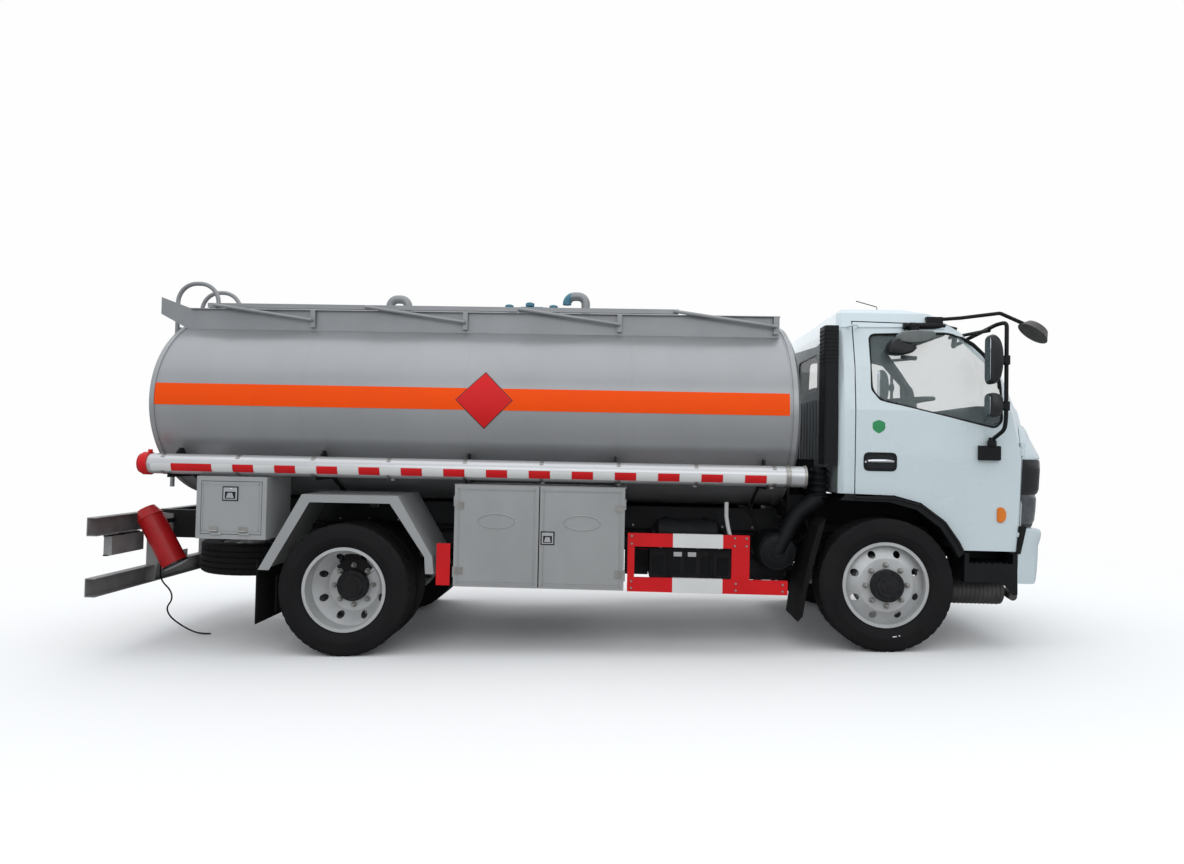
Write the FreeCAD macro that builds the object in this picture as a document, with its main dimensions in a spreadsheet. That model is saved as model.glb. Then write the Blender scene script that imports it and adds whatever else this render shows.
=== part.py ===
import FreeCAD, Part
import math
import os
import Sketcher

# Tanker truck with a tilting cab, a chassis, an oval tank and its equipment.
# Lengths are millimetres. x runs forward from the front axle, y to the left, z up from the ground.
# All that the springs carry is drawn level and then leans nose down by the rake angle.

doc = FreeCAD.newDocument("TankerTruck")
sheet = doc.addObject("Spreadsheet::Sheet", "Sizes")

driving_sizes = {
    # Stance and wheels
    "wheelbase": "3800",
    "rake_angle": "1.75",
    "front_track": "1850",
    "rear_track": "1750",
    "dual_spacing": "290",
    "tyre_radius": "464",
    "tyre_width": "255",
    "tyre_bulge_drop": "96",
    "tread_width": "214",
    "shoulder_drop": "16",
    "shoulder_width": "240",
    "rim_radius": "285.5",
    "flange_height": "13",
    "rim_width": "190",
    "flange_width": "8",
    "rim_wall": "9",
    "well_depth": "24",
    "well_width": "90",
    "disc_thickness": "11",
    "front_disc_offset": "104",
    "nut_disc_radius": "186",
    "hub_radius": "112",
    "hub_stick_out": "46",
    "hand_hole_radius": "26",
    "hand_hole_circle": "226",
    "hub_bore_radius": "36",
    "drum_radius": "204",
    "drum_length": "110",
    "drum_shift": "34",
    "running_gap": "0.3",
    "seat_gap": "0.3",
    "cut_overrun": "40",
    # Chassis frame
    "rail_top": "826",
    "rail_height": "220",
    "rail_half_spread": "400",
    "rail_flange": "70",
    "rail_thickness": "8",
    "rail_rear": "5560",
    "rail_front": "700",
    "cross_member_radius": "45",
    "tow_eye_place": "5580",
    "tow_eye_height": "630",
    "tow_eye_width": "24",
    "tow_eye_rim": "38",
    "tow_eye_bore": "20.5",
    "sill_height": "110",
    "sill_width": "70",
    "sill_front": "640",
    "sill_rear": "5230",
    "saddle_thickness": "12",
    "saddle_half_width": "760",
    "saddle_first": "840",
    "saddle_pitch": "1060",
    # Tank
    "tank_half_width": "1050",
    "tank_half_height": "725",
    "tank_middle": "1668",
    "tank_rear": "5276",
    "tank_front": "625",
    "head_depth": "62",
    "rim_band_width": "34",
    "rim_band_height": "7",
    # Walkway sides on the tank
    "coaming_spread": "640",
    "coaming_top": "2400",
    "coaming_sheet": "5",
    "coaming_lip": "34",
    "coaming_front": "690",
    "coaming_rear": "5205",
    "visor_rear": "5444",
    "visor_top": "2486",
    "visor_nose": "2356",
    # Folding handrail
    "rail_post_first": "720",
    "rail_post_pitch": "1175",
    "rail_arm": "765",
    "arm_section": "26",
    "rail_section": "34",
    "post_half_width": "18",
    "post_sheet": "16",
    "arm_pivot_height": "2318",
    "rail_pivot_height": "2424",
    "rail_pin_radius": "7",
    "arm_side_gap": "6",
    "handrail_rear": "5066",
    "handrail_front": "1452",
    # Tank top fittings
    "manhole_radius": "285",
    "manhole_height": "60",
    "manhole_wall": "12",
    "manhole_place": "2630",
    "lid_radius": "250",
    "lid_thickness": "22",
    "lid_hinge_reach": "292",
    "lid_hinge_length": "120",
    "vent_pipe_radius": "36",
    "vent_height": "240",
    "vent_bend": "70",
    "first_vent_place": "3720",
    "second_vent_place": "2180",
    "vent_spread": "120",
    # Ladder on the rear head
    "ladder_spread": "190",
    "ladder_shift": "212",
    "ladder_tube": "17",
    "ladder_stand_off": "110",
    "ladder_foot": "1010",
    "hoop_height": "2642",
    "hoop_length": "330",
    "rung_count": "6",
    # Hose tubes
    "hose_tube_radius": "72.5",
    "hose_tube_wall": "4",
    "hose_tube_spread": "1077",
    "hose_tube_height": "1209",
    "hose_tube_rear": "5229",
    "hose_tube_front": "578",
    "tube_cap_length": "69",
    "tube_cap_radius": "82",
    "bracket_knee_spread": "600",
    "bracket_knee_height": "1050",
    # Body side line
    "side_line": "1150",
    # Valve box
    "valve_box_rear": "3020",
    "valve_box_front": "1832",
    "valve_box_bottom": "398",
    "valve_box_top": "1105",
    "valve_box_depth": "400",
    "box_wall": "5",
    "door_sheet": "22",
    "door_gap": "8",
    "box_hinge_radius": "9",
    "box_hinge_length": "72",
    "outlet_radius": "38",
    "outlet_length": "70",
    "outlet_spread": "300",
    "outlet_rise": "260",
    "outlet_set_back": "90",
    # Rear locker
    "locker_rear": "4855",
    "locker_front": "4353",
    "locker_bottom": "688",
    "locker_top": "1128",
    "locker_depth": "420",
    "locker_frame": "32",
    # Rear fenders
    "fender_width": "590",
    "fender_sheet": "6",
    "fender_rim": "55",
    "fender_line": "1158",
    "mud_flap_sheet": "10",
    "mud_flap_foot": "100",
    "mud_flap_lap": "60",
    "flap_outer": "1040",
    "flap_inner": "620",
    "flap_stay_place": "470",
    # Side guards
    "guard_upper_top": "797",
    "guard_upper_bottom": "706",
    "guard_lower_top": "492",
    "guard_lower_bottom": "395",
    "guard_section": "32",
    "guard_rear_post": "48",
    "guard_rear": "1808",
    "guard_upper_front": "968",
    "guard_lower_front": "705",
    "guard_post_width": "122",
    "plate_rear": "3140",
    "plate_front": "3044",
    "plate_bottom": "404",
    "plate_top": "695",
    # Rear underrun guard
    "underrun_rear": "5640",
    "underrun_bar_height": "132",
    "underrun_bar_depth": "72",
    "underrun_sheet": "6",
    "upper_bar_bottom": "684",
    "lower_bar_bottom": "253",
    "hanger_spread": "525",
    "hanger_width": "14",
    "lamp_inner": "560",
    "lamp_outer": "960",
    "lamp_height": "138",
    "lamp_depth": "62",
    "lamp_middle": "596",
    # Extinguisher holders
    "extinguisher_radius": "92",
    "extinguisher_length": "490",
    "extinguisher_spread": "700",
    "extinguisher_foot_x": "5235",
    "extinguisher_foot_z": "430",
    "extinguisher_lean": "30",
    # Spare wheel
    "spare_place": "4880",
    "spare_middle": "440",
    "spare_bolt_radius": "16",
    # Boxes and tanks on the rails
    "battery_rear": "1639",
    "battery_front": "1053",
    "battery_bottom": "432",
    "battery_top": "652",
    "battery_outer": "800",
    "fuel_rear": "3000",
    "fuel_front": "1950",
    "fuel_radius": "270",
    "fuel_outer": "1010",
    "fuel_middle": "650",
    "filter_place": "716",
    "filter_height": "653",
    "filter_radius": "140",
    "filter_outer": "840",
    "filter_inner": "500",
    "duct_radius": "62",
    "duct_spread": "800",
    "bellows_radius": "52",
    "bellows_place": "417",
    "bellows_bottom": "1057",
    "bellows_top": "1278",
    # Springs, axles and drive
    "spring_spread": "410",
    "spring_width": "76",
    "rear_spring_spread": "490",
    "spring_leaf": "13",
    "spring_leaves": "5",
    "spring_half_length": "700",
    "spring_camber": "110",
    "axle_tube_radius": "62",
    "diff_radius": "190",
    "kingpin_spread": "800",
    "kingpin_radius": "20",
    "beam_drop": "90",
    "beam_height": "92",
    "beam_width": "70",
    "knuckle_ear": "34",
    "knuckle_web": "24",
    "knuckle_width": "88",
    "steering_arm": "190",
    "engine_length": "1010",
    "engine_front": "560",
    "engine_half_width": "300",
    "engine_bottom": "560",
    "engine_top": "1040",
    "gearbox_length": "560",
    "gearbox_radius": "170",
    "shaft_radius": "50",
    "shaft_height": "700",
    "silencer_radius": "104",
    "silencer_rear": "560",
    "silencer_front": "985",
    "silencer_height": "380",
    "silencer_spread": "560",
    # Cab
    "cab_back": "330",
    "cab_side": "1020",
    "cab_nose": "1105",
    "cab_base": "717",
    "cab_top": "2440",
    "cab_wall": "22",
    "cab_corner": "34",
    "door_clearance": "8",
    "door_depth": "60",
    "door_lean": "130",
    "door_top": "2331",
    "door_hinge_length": "90",
    "window_corner": "45",
    "lamp_foot": "181",
    "grille_frame": "34",
    "pivot_width": "22",
    "pivot_radius": "16",
    "flare_depth": "12",
    "glass_inset": "7",
    "glass_thickness": "6",
    "floor_line": "1098",
    "tunnel_half_width": "500",
    "front_edge_height": "730",
    "front_edge_place": "905",
    "door_rear": "215",
    "door_front": "932",
    "cab_pivot_x": "1022",
    "cab_pivot_z": "700",
    "lamp_band_rear": "962",
    "lamp_band_top": "1364",
    "grille_half_width": "600",
    "lamp_shell": "38",
    "grille_slat": "16",
    "slat_pitch": "52",
    "door_hinge_radius": "11",
    "flare_width": "46",
    "flare_proud": "38",
    # Bumper and steps
    "bumper_bottom": "498",
    "bumper_top": "700",
    "bumper_front": "1046",
    "bumper_rear": "910",
    "bumper_bulge": "30",
    "bumper_sheet": "12",
    "bumper_notch": "22",
    "step_rear": "544",
    "step_top": "700",
    "step_bottom": "500",
    "step_depth": "260",
    "step_ledge": "630",
    "skirt_tip": "416",
    # Cab fittings
    "stack_rear": "437",
    "stack_front": "335",
    "stack_bottom": "1300",
    "stack_top": "2286",
    "stack_inner": "838",
    "stack_outer": "1004",
    "seat_width": "500",
    "seat_front": "330",
    "seat_depth": "480",
    "seat_thickness": "120",
    "seat_base_height": "1330",
    "seat_back_height": "620",
    "seat_spread": "560",
    "dash_height": "1640",
    "dash_depth": "330",
    "wheel_ring_radius": "215",
    "wheel_ring_tube": "15",
    "column_radius": "26",
    # Mirrors
    "mirror_tube": "14",
    "mirror_stand_off": "1180",
    "mirror_thickness": "58",
    "mirror_foot_x": "642",
    "mirror_foot_z": "1420",
    "mirror_post_x": "748",
    "mirror_top_z": "2299",
    "mirror_root_x": "545",
    "mirror_head_rear": "622",
    "mirror_head_front": "728",
    "upper_mirror_low": "1870",
    "upper_mirror_high": "2209",
    "lower_mirror_low": "1637",
    "lower_mirror_high": "1810",
    "front_mirror_tube": "13",
    "front_head_radius": "110",
    "front_head_x": "1000",
    "front_head_z": "2245",
    "front_head_turn": "38",
    # Antistatic strap
    "strap_place": "5478",
    "strap_spread": "475",
    "strap_top": "480",
    "strap_radius": "6",
}

for row, (alias, text) in enumerate(driving_sizes.items(), 1):
    sheet.set(f"A{row}", alias)
    sheet.set(f"B{row}", text)
    sheet.setAlias(f"B{row}", alias)
doc.recompute()


class Size:
    """A length worked out from the sheet: the formula that objects are bound to, and its value now."""

    def __init__(self, formula, value):
        self.formula = formula
        self.value = value

    def __add__(self, other):
        other = as_size(other)
        return Size(f"({self.formula} + {other.formula})", self.value + other.value)

    def __sub__(self, other):
        other = as_size(other)
        return Size(f"({self.formula} - {other.formula})", self.value - other.value)

    def __mul__(self, other):
        other = as_size(other)
        return Size(f"({self.formula} * {other.formula})", self.value * other.value)

    def __truediv__(self, other):
        other = as_size(other)
        return Size(f"({self.formula} / {other.formula})", self.value / other.value)

    def __rsub__(self, other):
        return as_size(other) - self

    def __neg__(self):
        return Size(f"(0 - {self.formula})", -self.value)

    def __lt__(self, other):
        return self.value < as_size(other).value

    __radd__ = __add__
    __rmul__ = __mul__


def as_size(number):
    if isinstance(number, Size):
        return number
    return Size(f"{number:.6f}", float(number))


def sine(angle):
    return Size(f"sin({angle.formula})", math.sin(math.radians(angle.value)))


def cosine(angle):
    return Size(f"cos({angle.formula})", math.cos(math.radians(angle.value)))


class SheetSizes:
    """Every alias of the sheet, as a Size."""

    def __getattr__(self, alias):
        return Size(f"Sizes.{alias}", float(sheet.get(alias)))


S = SheetSizes()


def bind(item, prop, size):
    """Binds one property of an object to its formula."""
    item.setExpression(prop, as_size(size).formula)


def place(item, x, y, z):
    bind(item, "Placement.Base.x", x)
    bind(item, "Placement.Base.y", y)
    bind(item, "Placement.Base.z", z)
    return item


turn_to_axis = {
    "x": FreeCAD.Rotation(FreeCAD.Vector(0, 1, 0), 90),
    "y": FreeCAD.Rotation(FreeCAD.Vector(1, 0, 0), -90),
    "z": FreeCAD.Rotation(),
}


def block(x_low, x_high, y_low, y_high, z_low, z_high):
    """A rectangular block between two corners."""
    item = doc.addObject("Part::Box", "Block")
    bind(item, "Length", x_high - x_low)
    bind(item, "Width", y_high - y_low)
    bind(item, "Height", z_high - z_low)
    return place(item, x_low, y_low, z_low)


def rod(axis, x, y, z, length, radius):
    """A round bar that starts at a point and runs along an axis."""
    item = doc.addObject("Part::Cylinder", "Rod")
    item.Placement = FreeCAD.Placement(FreeCAD.Vector(), turn_to_axis[axis])
    bind(item, "Radius", radius)
    bind(item, "Height", length)
    return place(item, x, y, z)


def bound_point(sketch, index, edge, end, along, up):
    """Ties one end of a sketch line to its two named places."""
    for kind, size in (("DistanceX", along), ("DistanceY", up)):
        size = as_size(size)
        constraint = sketch.addConstraint(Sketcher.Constraint(kind, -1, 1, edge, end, size.value))
        sketch.setExpression(f"Constraints[{constraint}]", size.formula)


def outline_sketch(body, role, corners, offset=0):
    """A closed outline of straight lines on one origin plane, each corner bound to its sizes."""
    sketch = body.newObject("Sketcher::SketchObject", "Outline")
    plane = [item for item in body.Origin.OriginFeatures if item.Role == role][0]
    sketch.AttachmentSupport = [(plane, "")]
    sketch.MapMode = "FlatFace"
    bind(sketch, "AttachmentOffset.Base.z", offset)
    spots = [FreeCAD.Vector(as_size(along).value, as_size(up).value, 0) for along, up in corners]
    for index, spot in enumerate(spots):
        sketch.addGeometry(Part.LineSegment(spot, spots[(index + 1) % len(spots)]))
    for index in range(len(spots)):
        sketch.addConstraint(Sketcher.Constraint("Coincident", index, 2, (index + 1) % len(spots), 1))
    for index, (along, up) in enumerate(corners):
        bound_point(sketch, index, index, 1, along, up)
    return sketch


def round_corners(body, feature, spots, radius, axis_index):
    """Rounds the edges that run along one axis through the given corners."""
    doc.recompute()
    names = []
    for number, edge in enumerate(feature.Shape.Edges, 1):
        first = edge.Vertexes[0].Point
        last = edge.Vertexes[-1].Point
        run = last - first
        cross = [abs(run[k]) for k in range(3) if k != axis_index]
        if max(cross) > 0.01 or abs(run[axis_index]) < 0.01:
            continue
        flat = [first[k] for k in range(3) if k != axis_index]
        if any(math.dist(flat, spot) < 0.01 for spot in spots):
            names.append(f"Edge{number}")
    fillet = body.newObject("PartDesign::Fillet", "Rounding")
    fillet.Base = (feature, names)
    bind(fillet, "Radius", radius)
    return fillet


view_planes = {
    "side": ("XZ_Plane", 1, -1),
    "plan": ("XY_Plane", 2, 1),
    "front": ("YZ_Plane", 0, 1),
}


def prism(view, corners, low, high, rounds=()):
    """An outline seen from one side and carried straight through. Rounds are (radius, corner numbers)."""
    role, axis_index, facing = view_planes[view]
    body = doc.addObject("PartDesign::Body", "Prism")
    sketch = outline_sketch(body, role, corners, low if facing > 0 else 0 - as_size(high))
    pad = body.newObject("PartDesign::Pad", "Pad")
    pad.Profile = sketch
    bind(pad, "Length", as_size(high) - low)
    sketch.Visibility = False
    feature = pad
    for radius, numbers in rounds:
        spots = [[as_size(size).value for size in corners[number]] for number in numbers]
        feature = round_corners(body, feature, spots, radius, axis_index)
    return body


def turned(axis, profile, x, y, z):
    """A profile of (along the axis, radius) points turned about an axis through a point."""
    body = doc.addObject("PartDesign::Body", "Turned")
    role = {"x": "XY_Plane", "y": "YZ_Plane", "z": "XZ_Plane"}[axis]
    corners = [(radius, along) for along, radius in profile] if axis == "z" else profile
    sketch = outline_sketch(body, role, corners)
    spin = body.newObject("PartDesign::Revolution", "Spin")
    spin.Profile = sketch
    spin.ReferenceAxis = (sketch, ["V_Axis" if axis == "z" else "H_Axis"])
    spin.Angle = 360
    return place(body, x, y, z)


def ellipse(half_width, half_height, x, z_middle):
    """An upright elliptical edge across the truck."""
    ring = doc.addObject("Part::Ellipse", "Ellipse")
    ring.Placement = FreeCAD.Placement(FreeCAD.Vector(), FreeCAD.Rotation(FreeCAD.Vector(1, 1, 1), 120))
    bind(ring, "MajorRadius", half_width)
    bind(ring, "MinorRadius", half_height)
    return place(ring, x, 0, z_middle)


def oval(half_width, half_height, x_low, x_high, z_middle):
    """An elliptical barrel along x."""
    barrel = doc.addObject("Part::Extrusion", "Barrel")
    barrel.Base = ellipse(half_width, half_height, x_low, z_middle)
    barrel.DirMode = "Custom"
    barrel.Dir = FreeCAD.Vector(1, 0, 0)
    barrel.Solid = True
    bind(barrel, "LengthFwd", x_high - x_low)
    return barrel


def bent_tube(points, radius, bend):
    """A round tube along straight runs joined by arcs of one radius."""
    spots = [FreeCAD.Vector(*[as_size(size).value for size in point]) for point in points]
    edges = []
    start = spots[0]
    for before, corner, after in zip(spots, spots[1:], spots[2:]):
        arrive = (corner - before).normalize()
        leave = (after - corner).normalize()
        half_turn = arrive.getAngle(leave) / 2
        reach = bend.value * math.tan(half_turn)
        first = corner - arrive * reach
        last = corner + leave * reach
        inward = (leave - arrive).normalize()
        middle = corner + inward * (bend.value / math.cos(half_turn) - bend.value)
        edges.append(Part.LineSegment(start, first).toShape())
        edges.append(Part.Arc(first, middle, last).toShape())
        start = last
    edges.append(Part.LineSegment(start, spots[-1]).toShape())
    path = Part.Wire(edges)
    ring = Part.Wire([Part.makeCircle(radius.value, spots[0], spots[1] - spots[0])])
    item = doc.addObject("Part::Feature", "BentTube")
    item.Shape = path.makePipeShell([ring], True, False)
    return item


def mirrored(item):
    """The same piece on the other side of the truck."""
    twin = doc.addObject("Part::Mirroring", "Mirrored")
    twin.Source = item
    twin.Normal = FreeCAD.Vector(0, 1, 0)
    return twin


def cut(base, *tools):
    for tool in tools:
        result = doc.addObject("Part::Cut", "Cut")
        result.Base = base
        result.Tool = tool
        base = result
    return base


def joined(*items):
    if len(items) == 1:
        return items[0]
    result = doc.addObject("Part::MultiFuse", "Joined")
    result.Shapes = list(items)
    result.Refine = True
    return result


def common(first, second):
    result = doc.addObject("Part::Common", "Common")
    result.Base = first
    result.Tool = second
    return result


def hinge(axis, x, y, z, length, radius, room_radius=None):
    """A pin hinge of three knuckles, the outer two and the pin fixed, the middle one moving.

    Gives the fixed half, the moving half, the room the fixed base leaves and the room the moving base leaves.
    """
    third = length / 3
    pin_radius = radius * hinge_pin_share
    room_radius = room_radius or radius + S.running_gap

    def piece(start, run, size, z_x_y=(x, y, z)):
        spot = list(z_x_y)
        index = "xyz".index(axis)
        spot[index] = spot[index] + start
        return rod(axis, *spot, run, size)

    fixed = joined(piece(0, length, pin_radius), piece(0, third, radius), piece(third * 2, third, radius))
    middle = piece(third + S.running_gap, third - S.running_gap * 2, radius)
    moving = cut(middle, piece(0, length, pin_radius + S.running_gap))
    fixed_base_room = piece(third, third, room_radius)
    moving_base_rooms = [piece(-S.running_gap, third + S.running_gap * 2, room_radius),
                         piece(third * 2 - S.running_gap, third + S.running_gap * 2, room_radius),
                         piece(0, length, pin_radius + S.running_gap)]
    return fixed, moving, fixed_base_room, moving_base_rooms


nodes = []
hinge_pin_share = 0.5
open_pin_share = 3
hoop_bend_share = 0.46
rung_share = 0.8
ladder_stay_shares = [-0.6, 0.1, 0.75]
bellows_count = 5
slat_count = 7
stack_foot_shares = [0.65, 0.9]
locker_hinge_shares = [0.3, 0.7]
fender_shares = [(-1.29, 1.033), (-0.647, 2.189), (0.817, 2.194), (1.362, 1.288), (1.388, 1.034)]
fender_top_share = 2.19
front_flap_shares = [(-1.02, 1.86), (-0.91, 1.98), (-1.05, 1.42), (-1.18, 0.9), (-1.24, 0.5), (-1.31, 0.42),
                     (-1.25, 0.9), (-1.14, 1.42)]
guard_stay_shares = [1.0, 5.4]
outlet_flange_share = 1.5
short_leaf_share = 0.35
beam_shoulder_share = 1.2
mirror_root_share = 0.89
head_waist_share = 0.7
head_rise_share = 0.5

# Where the front axle stands, so that the origin is below the middle of the whole truck
rear_reach = S.underrun_rear * cosine(S.rake_angle) + (S.tyre_radius - S.lower_bar_bottom) * sine(S.rake_angle)
front_head_lean = S.front_head_turn + S.rake_angle
front_reach = (S.front_head_x * cosine(S.rake_angle) + (S.front_head_z - S.tyre_radius) * sine(S.rake_angle)
               + S.front_head_radius * (cosine(front_head_lean) * head_waist_share
                                        + sine(front_head_lean) * head_rise_share))
front_axle_x = (rear_reach - front_reach) / 2


def node(label, raked, *items):
    """Names one sub-part and puts it at its place in the truck."""
    item = doc.addObject("Part::Compound", "Node")
    item.Label = label
    item.Links = list(items)
    if raked:
        item.Placement = FreeCAD.Placement(FreeCAD.Vector(), FreeCAD.Rotation(FreeCAD.Vector(0, 1, 0), 1))
        bind(item, "Placement.Rotation.Angle", S.rake_angle)
        place(item, front_axle_x - S.tyre_radius * sine(S.rake_angle), 0,
              S.tyre_radius - S.tyre_radius * cosine(S.rake_angle))
    else:
        place(item, front_axle_x, 0, 0)
    nodes.append(item)
    return item


# Chassis frame: two channel rails tied by round cross members
def rail_outline():
    outer = -S.rail_half_spread
    inner = outer + S.rail_flange
    web = outer + S.rail_thickness
    low = S.rail_top - S.rail_height
    return [(outer, low), (inner, low), (inner, low + S.rail_thickness), (web, low + S.rail_thickness),
            (web, S.rail_top - S.rail_thickness), (inner, S.rail_top - S.rail_thickness),
            (inner, S.rail_top), (outer, S.rail_top)]


cross_member_shares = [0.0096, 0.42, 0.6, 0.78, 0.99]
rail_right = prism("front", rail_outline(), -S.rail_rear, S.rail_front)
rail_length = S.rail_rear + S.rail_front
cross_member_places = [S.rail_front - rail_length * share for share in cross_member_shares] + [-S.spare_place]
cross_members = [
    rod("y", place_x, -(S.rail_half_spread - S.rail_thickness / 2),
        S.rail_top - S.rail_height / 2, S.rail_half_spread * 2 - S.rail_thickness, S.cross_member_radius)
    for place_x in cross_member_places]


def pivot_post():
    """The cab's pivot pin on a bracket at the front of the right rail."""
    inner = -S.rail_half_spread + S.rail_thickness
    post = prism("side", [(S.rail_front - S.cut_overrun, S.rail_top - S.rail_height),
                          (S.cab_pivot_x + S.pivot_radius, S.cab_pivot_z - S.pivot_radius),
                          (S.cab_pivot_x + S.pivot_radius, S.cab_pivot_z + S.pivot_radius),
                          (S.front_edge_place - S.cut_overrun, S.cab_pivot_z + S.pivot_radius),
                          (S.rail_front - S.cut_overrun, S.rail_top)],
                 inner - S.pivot_width, inner)
    iron = block(S.rail_front - S.cut_overrun, S.bumper_front + S.bumper_bulge - S.bumper_sheet - S.seat_gap * 3,
                 inner - S.pivot_width, inner, S.rail_top - S.rail_height + S.guard_section,
                 S.rail_top - S.rail_height + S.guard_section * 2)
    pin_start = -S.tunnel_half_width + S.pivot_width
    pin = rod("y", S.cab_pivot_x, pin_start, S.cab_pivot_z, inner - pin_start,
              S.pivot_radius * hinge_pin_share)
    return joined(post, iron, pin)


def tow_eye():
    """The rear towing eye: a plate on the last cross member, bored for a pin."""
    eye_x = -S.tow_eye_place
    eye_z = S.rail_top - S.rail_height / 2
    root = S.rail_front - rail_length * cross_member_shares[-1]
    plate = block(eye_x, root, -S.tow_eye_width / 2, S.tow_eye_width / 2, S.tow_eye_height - S.tow_eye_rim,
                  S.tow_eye_height + S.tow_eye_rim)
    neck = block(root - S.tow_eye_rim, root, -S.tow_eye_width / 2, S.tow_eye_width / 2, S.tow_eye_height, eye_z)
    ring = rod("y", eye_x, -S.tow_eye_width / 2, S.tow_eye_height, S.tow_eye_width, S.tow_eye_rim)
    bore = rod("y", eye_x, -S.tow_eye_width, S.tow_eye_height, S.tow_eye_width * 2, S.tow_eye_bore)
    return cut(joined(plate, neck, ring), bore)


pivot_right = pivot_post()
node("frame_rails", True, joined(rail_right, mirrored(rail_right), *cross_members, pivot_right,
                                 mirrored(pivot_right), tow_eye()))

# Tank and what carries it
head_shares = [(1, 0.4), (0.92, 0.66), (0.74, 0.84), (0.46, 0.95), (0, 1)]


def tank_barrel():
    """The barrel and its dished heads, lofted through upright ellipses."""
    rear = [(-S.tank_rear - S.head_depth * depth, share) for depth, share in head_shares]
    front = [(S.head_depth * depth - S.tank_front, share) for depth, share in head_shares]
    barrel = doc.addObject("Part::Loft", "TankBarrel")
    barrel.Sections = [
        ellipse(S.tank_half_width * share, S.tank_half_height * share, x, S.tank_middle)
        for x, share in rear + front[::-1]]
    barrel.Solid = True
    barrel.Ruled = True
    return barrel


tank_form = tank_barrel()
bands = [
    oval(S.tank_half_width + S.rim_band_height, S.tank_half_height + S.rim_band_height, low,
         low + S.rim_band_width, S.tank_middle)
    for low in (-S.tank_rear, -S.tank_front - S.rim_band_width)]
node("tank_shell", True, joined(tank_form, *bands))


def tank_room(gap):
    """The tank's outside with a gap, for cutting what seats on it."""
    return oval(S.tank_half_width + gap, S.tank_half_height + gap, -S.tank_rear - S.cut_overrun,
                -S.tank_front + S.cut_overrun, S.tank_middle)


saddle_room = tank_room(S.seat_gap)
sill_bottom = S.rail_top
sills = []
for side in (-1, 1):
    middle = side * (S.rail_half_spread - S.sill_width / 2)
    sills.append(block(-S.sill_rear, -S.sill_front, middle - S.sill_width / 2, middle + S.sill_width / 2,
                       sill_bottom, sill_bottom + S.sill_height))
saddle_corner_share = 0.55
saddle_top = S.tank_middle - S.tank_half_height * saddle_corner_share
saddles = []
for index in range(5):
    front = -S.saddle_first - S.saddle_pitch * index
    wing_low = sill_bottom + S.sill_height / 2
    wing = prism("front", [(-S.rail_half_spread, wing_low), (S.rail_half_spread, wing_low),
                           (S.saddle_half_width, saddle_top - S.saddle_thickness * 3),
                           (S.saddle_half_width, saddle_top),
                           (-S.saddle_half_width, saddle_top),
                           (-S.saddle_half_width, saddle_top - S.saddle_thickness * 3)],
                 front - S.saddle_thickness, front)
    saddles.append(wing)

# Walkway sides: two plates on the tank, with a rear panel that sweeps back over the ladder
plate_base = S.tank_middle + S.tank_half_height / 2
side_plate_corners = [(-S.coaming_front, plate_base), (-S.coaming_front, S.coaming_top),
                      (-S.coaming_rear, S.coaming_top), (-S.visor_rear, S.visor_top),
                      (-S.visor_rear, S.visor_nose), (-S.coaming_rear, S.coaming_top - S.coaming_lip * 5),
                      (-S.coaming_rear, plate_base)]
plate_right = prism("side", side_plate_corners, -S.coaming_spread - S.coaming_sheet, -S.coaming_spread)
lip_right = block(-S.coaming_rear, -S.coaming_front, -S.coaming_spread - S.coaming_lip, -S.coaming_spread,
                  S.coaming_top - S.coaming_sheet, S.coaming_top)
cross_plates = [
    block(place_x, place_x + S.coaming_sheet, -S.coaming_spread, S.coaming_spread, plate_base,
          S.coaming_top)
    for place_x in (-S.coaming_rear, -S.coaming_front - S.coaming_sheet)]
post_places = [-S.rail_post_first - S.rail_post_pitch * index for index in range(4)]
posts = [
    block(middle - S.post_half_width, middle + S.post_half_width,
          -S.coaming_spread - S.coaming_lip, -S.coaming_spread - S.coaming_lip + S.post_sheet,
          S.coaming_top - S.coaming_lip * 4, S.coaming_top)
    for middle in post_places]
arm_outer = -S.coaming_spread - S.coaming_lip - S.arm_side_gap - S.arm_section
post_holes = [
    rod("y", middle, arm_outer, S.arm_pivot_height, S.coaming_spread, S.rail_pin_radius + S.running_gap)
    for middle in post_places]
feet = [
    block(middle - S.post_half_width, middle + S.post_half_width,
          -S.coaming_spread - S.coaming_lip + S.post_sheet, -S.coaming_spread,
          S.coaming_top - S.coaming_lip * 4, S.coaming_top - S.coaming_lip * 3)
    for middle in post_places]
walkway = joined(plate_right, lip_right, mirrored(plate_right), mirrored(lip_right), *cross_plates, *posts, *feet)
node("walkway_sides", True, cut(walkway, tank_room(S.seat_gap * 2), *post_holes))

# Hose tubes along both sides, with red end caps, on brackets from the saddles
def hose_tube():
    length = S.hose_tube_rear - S.hose_tube_front
    outer = rod("x", -S.hose_tube_rear, -S.hose_tube_spread, S.hose_tube_height, length, S.hose_tube_radius)
    inner = rod("x", -S.hose_tube_rear - S.cut_overrun, -S.hose_tube_spread, S.hose_tube_height,
                length - S.tube_cap_length, S.hose_tube_radius - S.hose_tube_wall)
    return cut(outer, inner)


def tube_cap():
    profile = [(0, 0), (S.tube_cap_length, 0), (S.tube_cap_length, S.tube_cap_radius),
               (S.tube_cap_length * 0.3, S.tube_cap_radius), (0, S.tube_cap_radius * 0.8)]
    return turned("x", profile, -S.hose_tube_rear - S.tube_cap_length, -S.hose_tube_spread,
                  S.hose_tube_height)


tube_right = hose_tube()
cap_right = tube_cap()
node("hose_tubes", True, tube_right, mirrored(tube_right), cap_right, mirrored(cap_right))

bracket_places = [-S.saddle_first - S.saddle_pitch * index for index in range(5)]
arm_low = S.hose_tube_height - S.hose_tube_radius - S.saddle_thickness * 2


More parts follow.
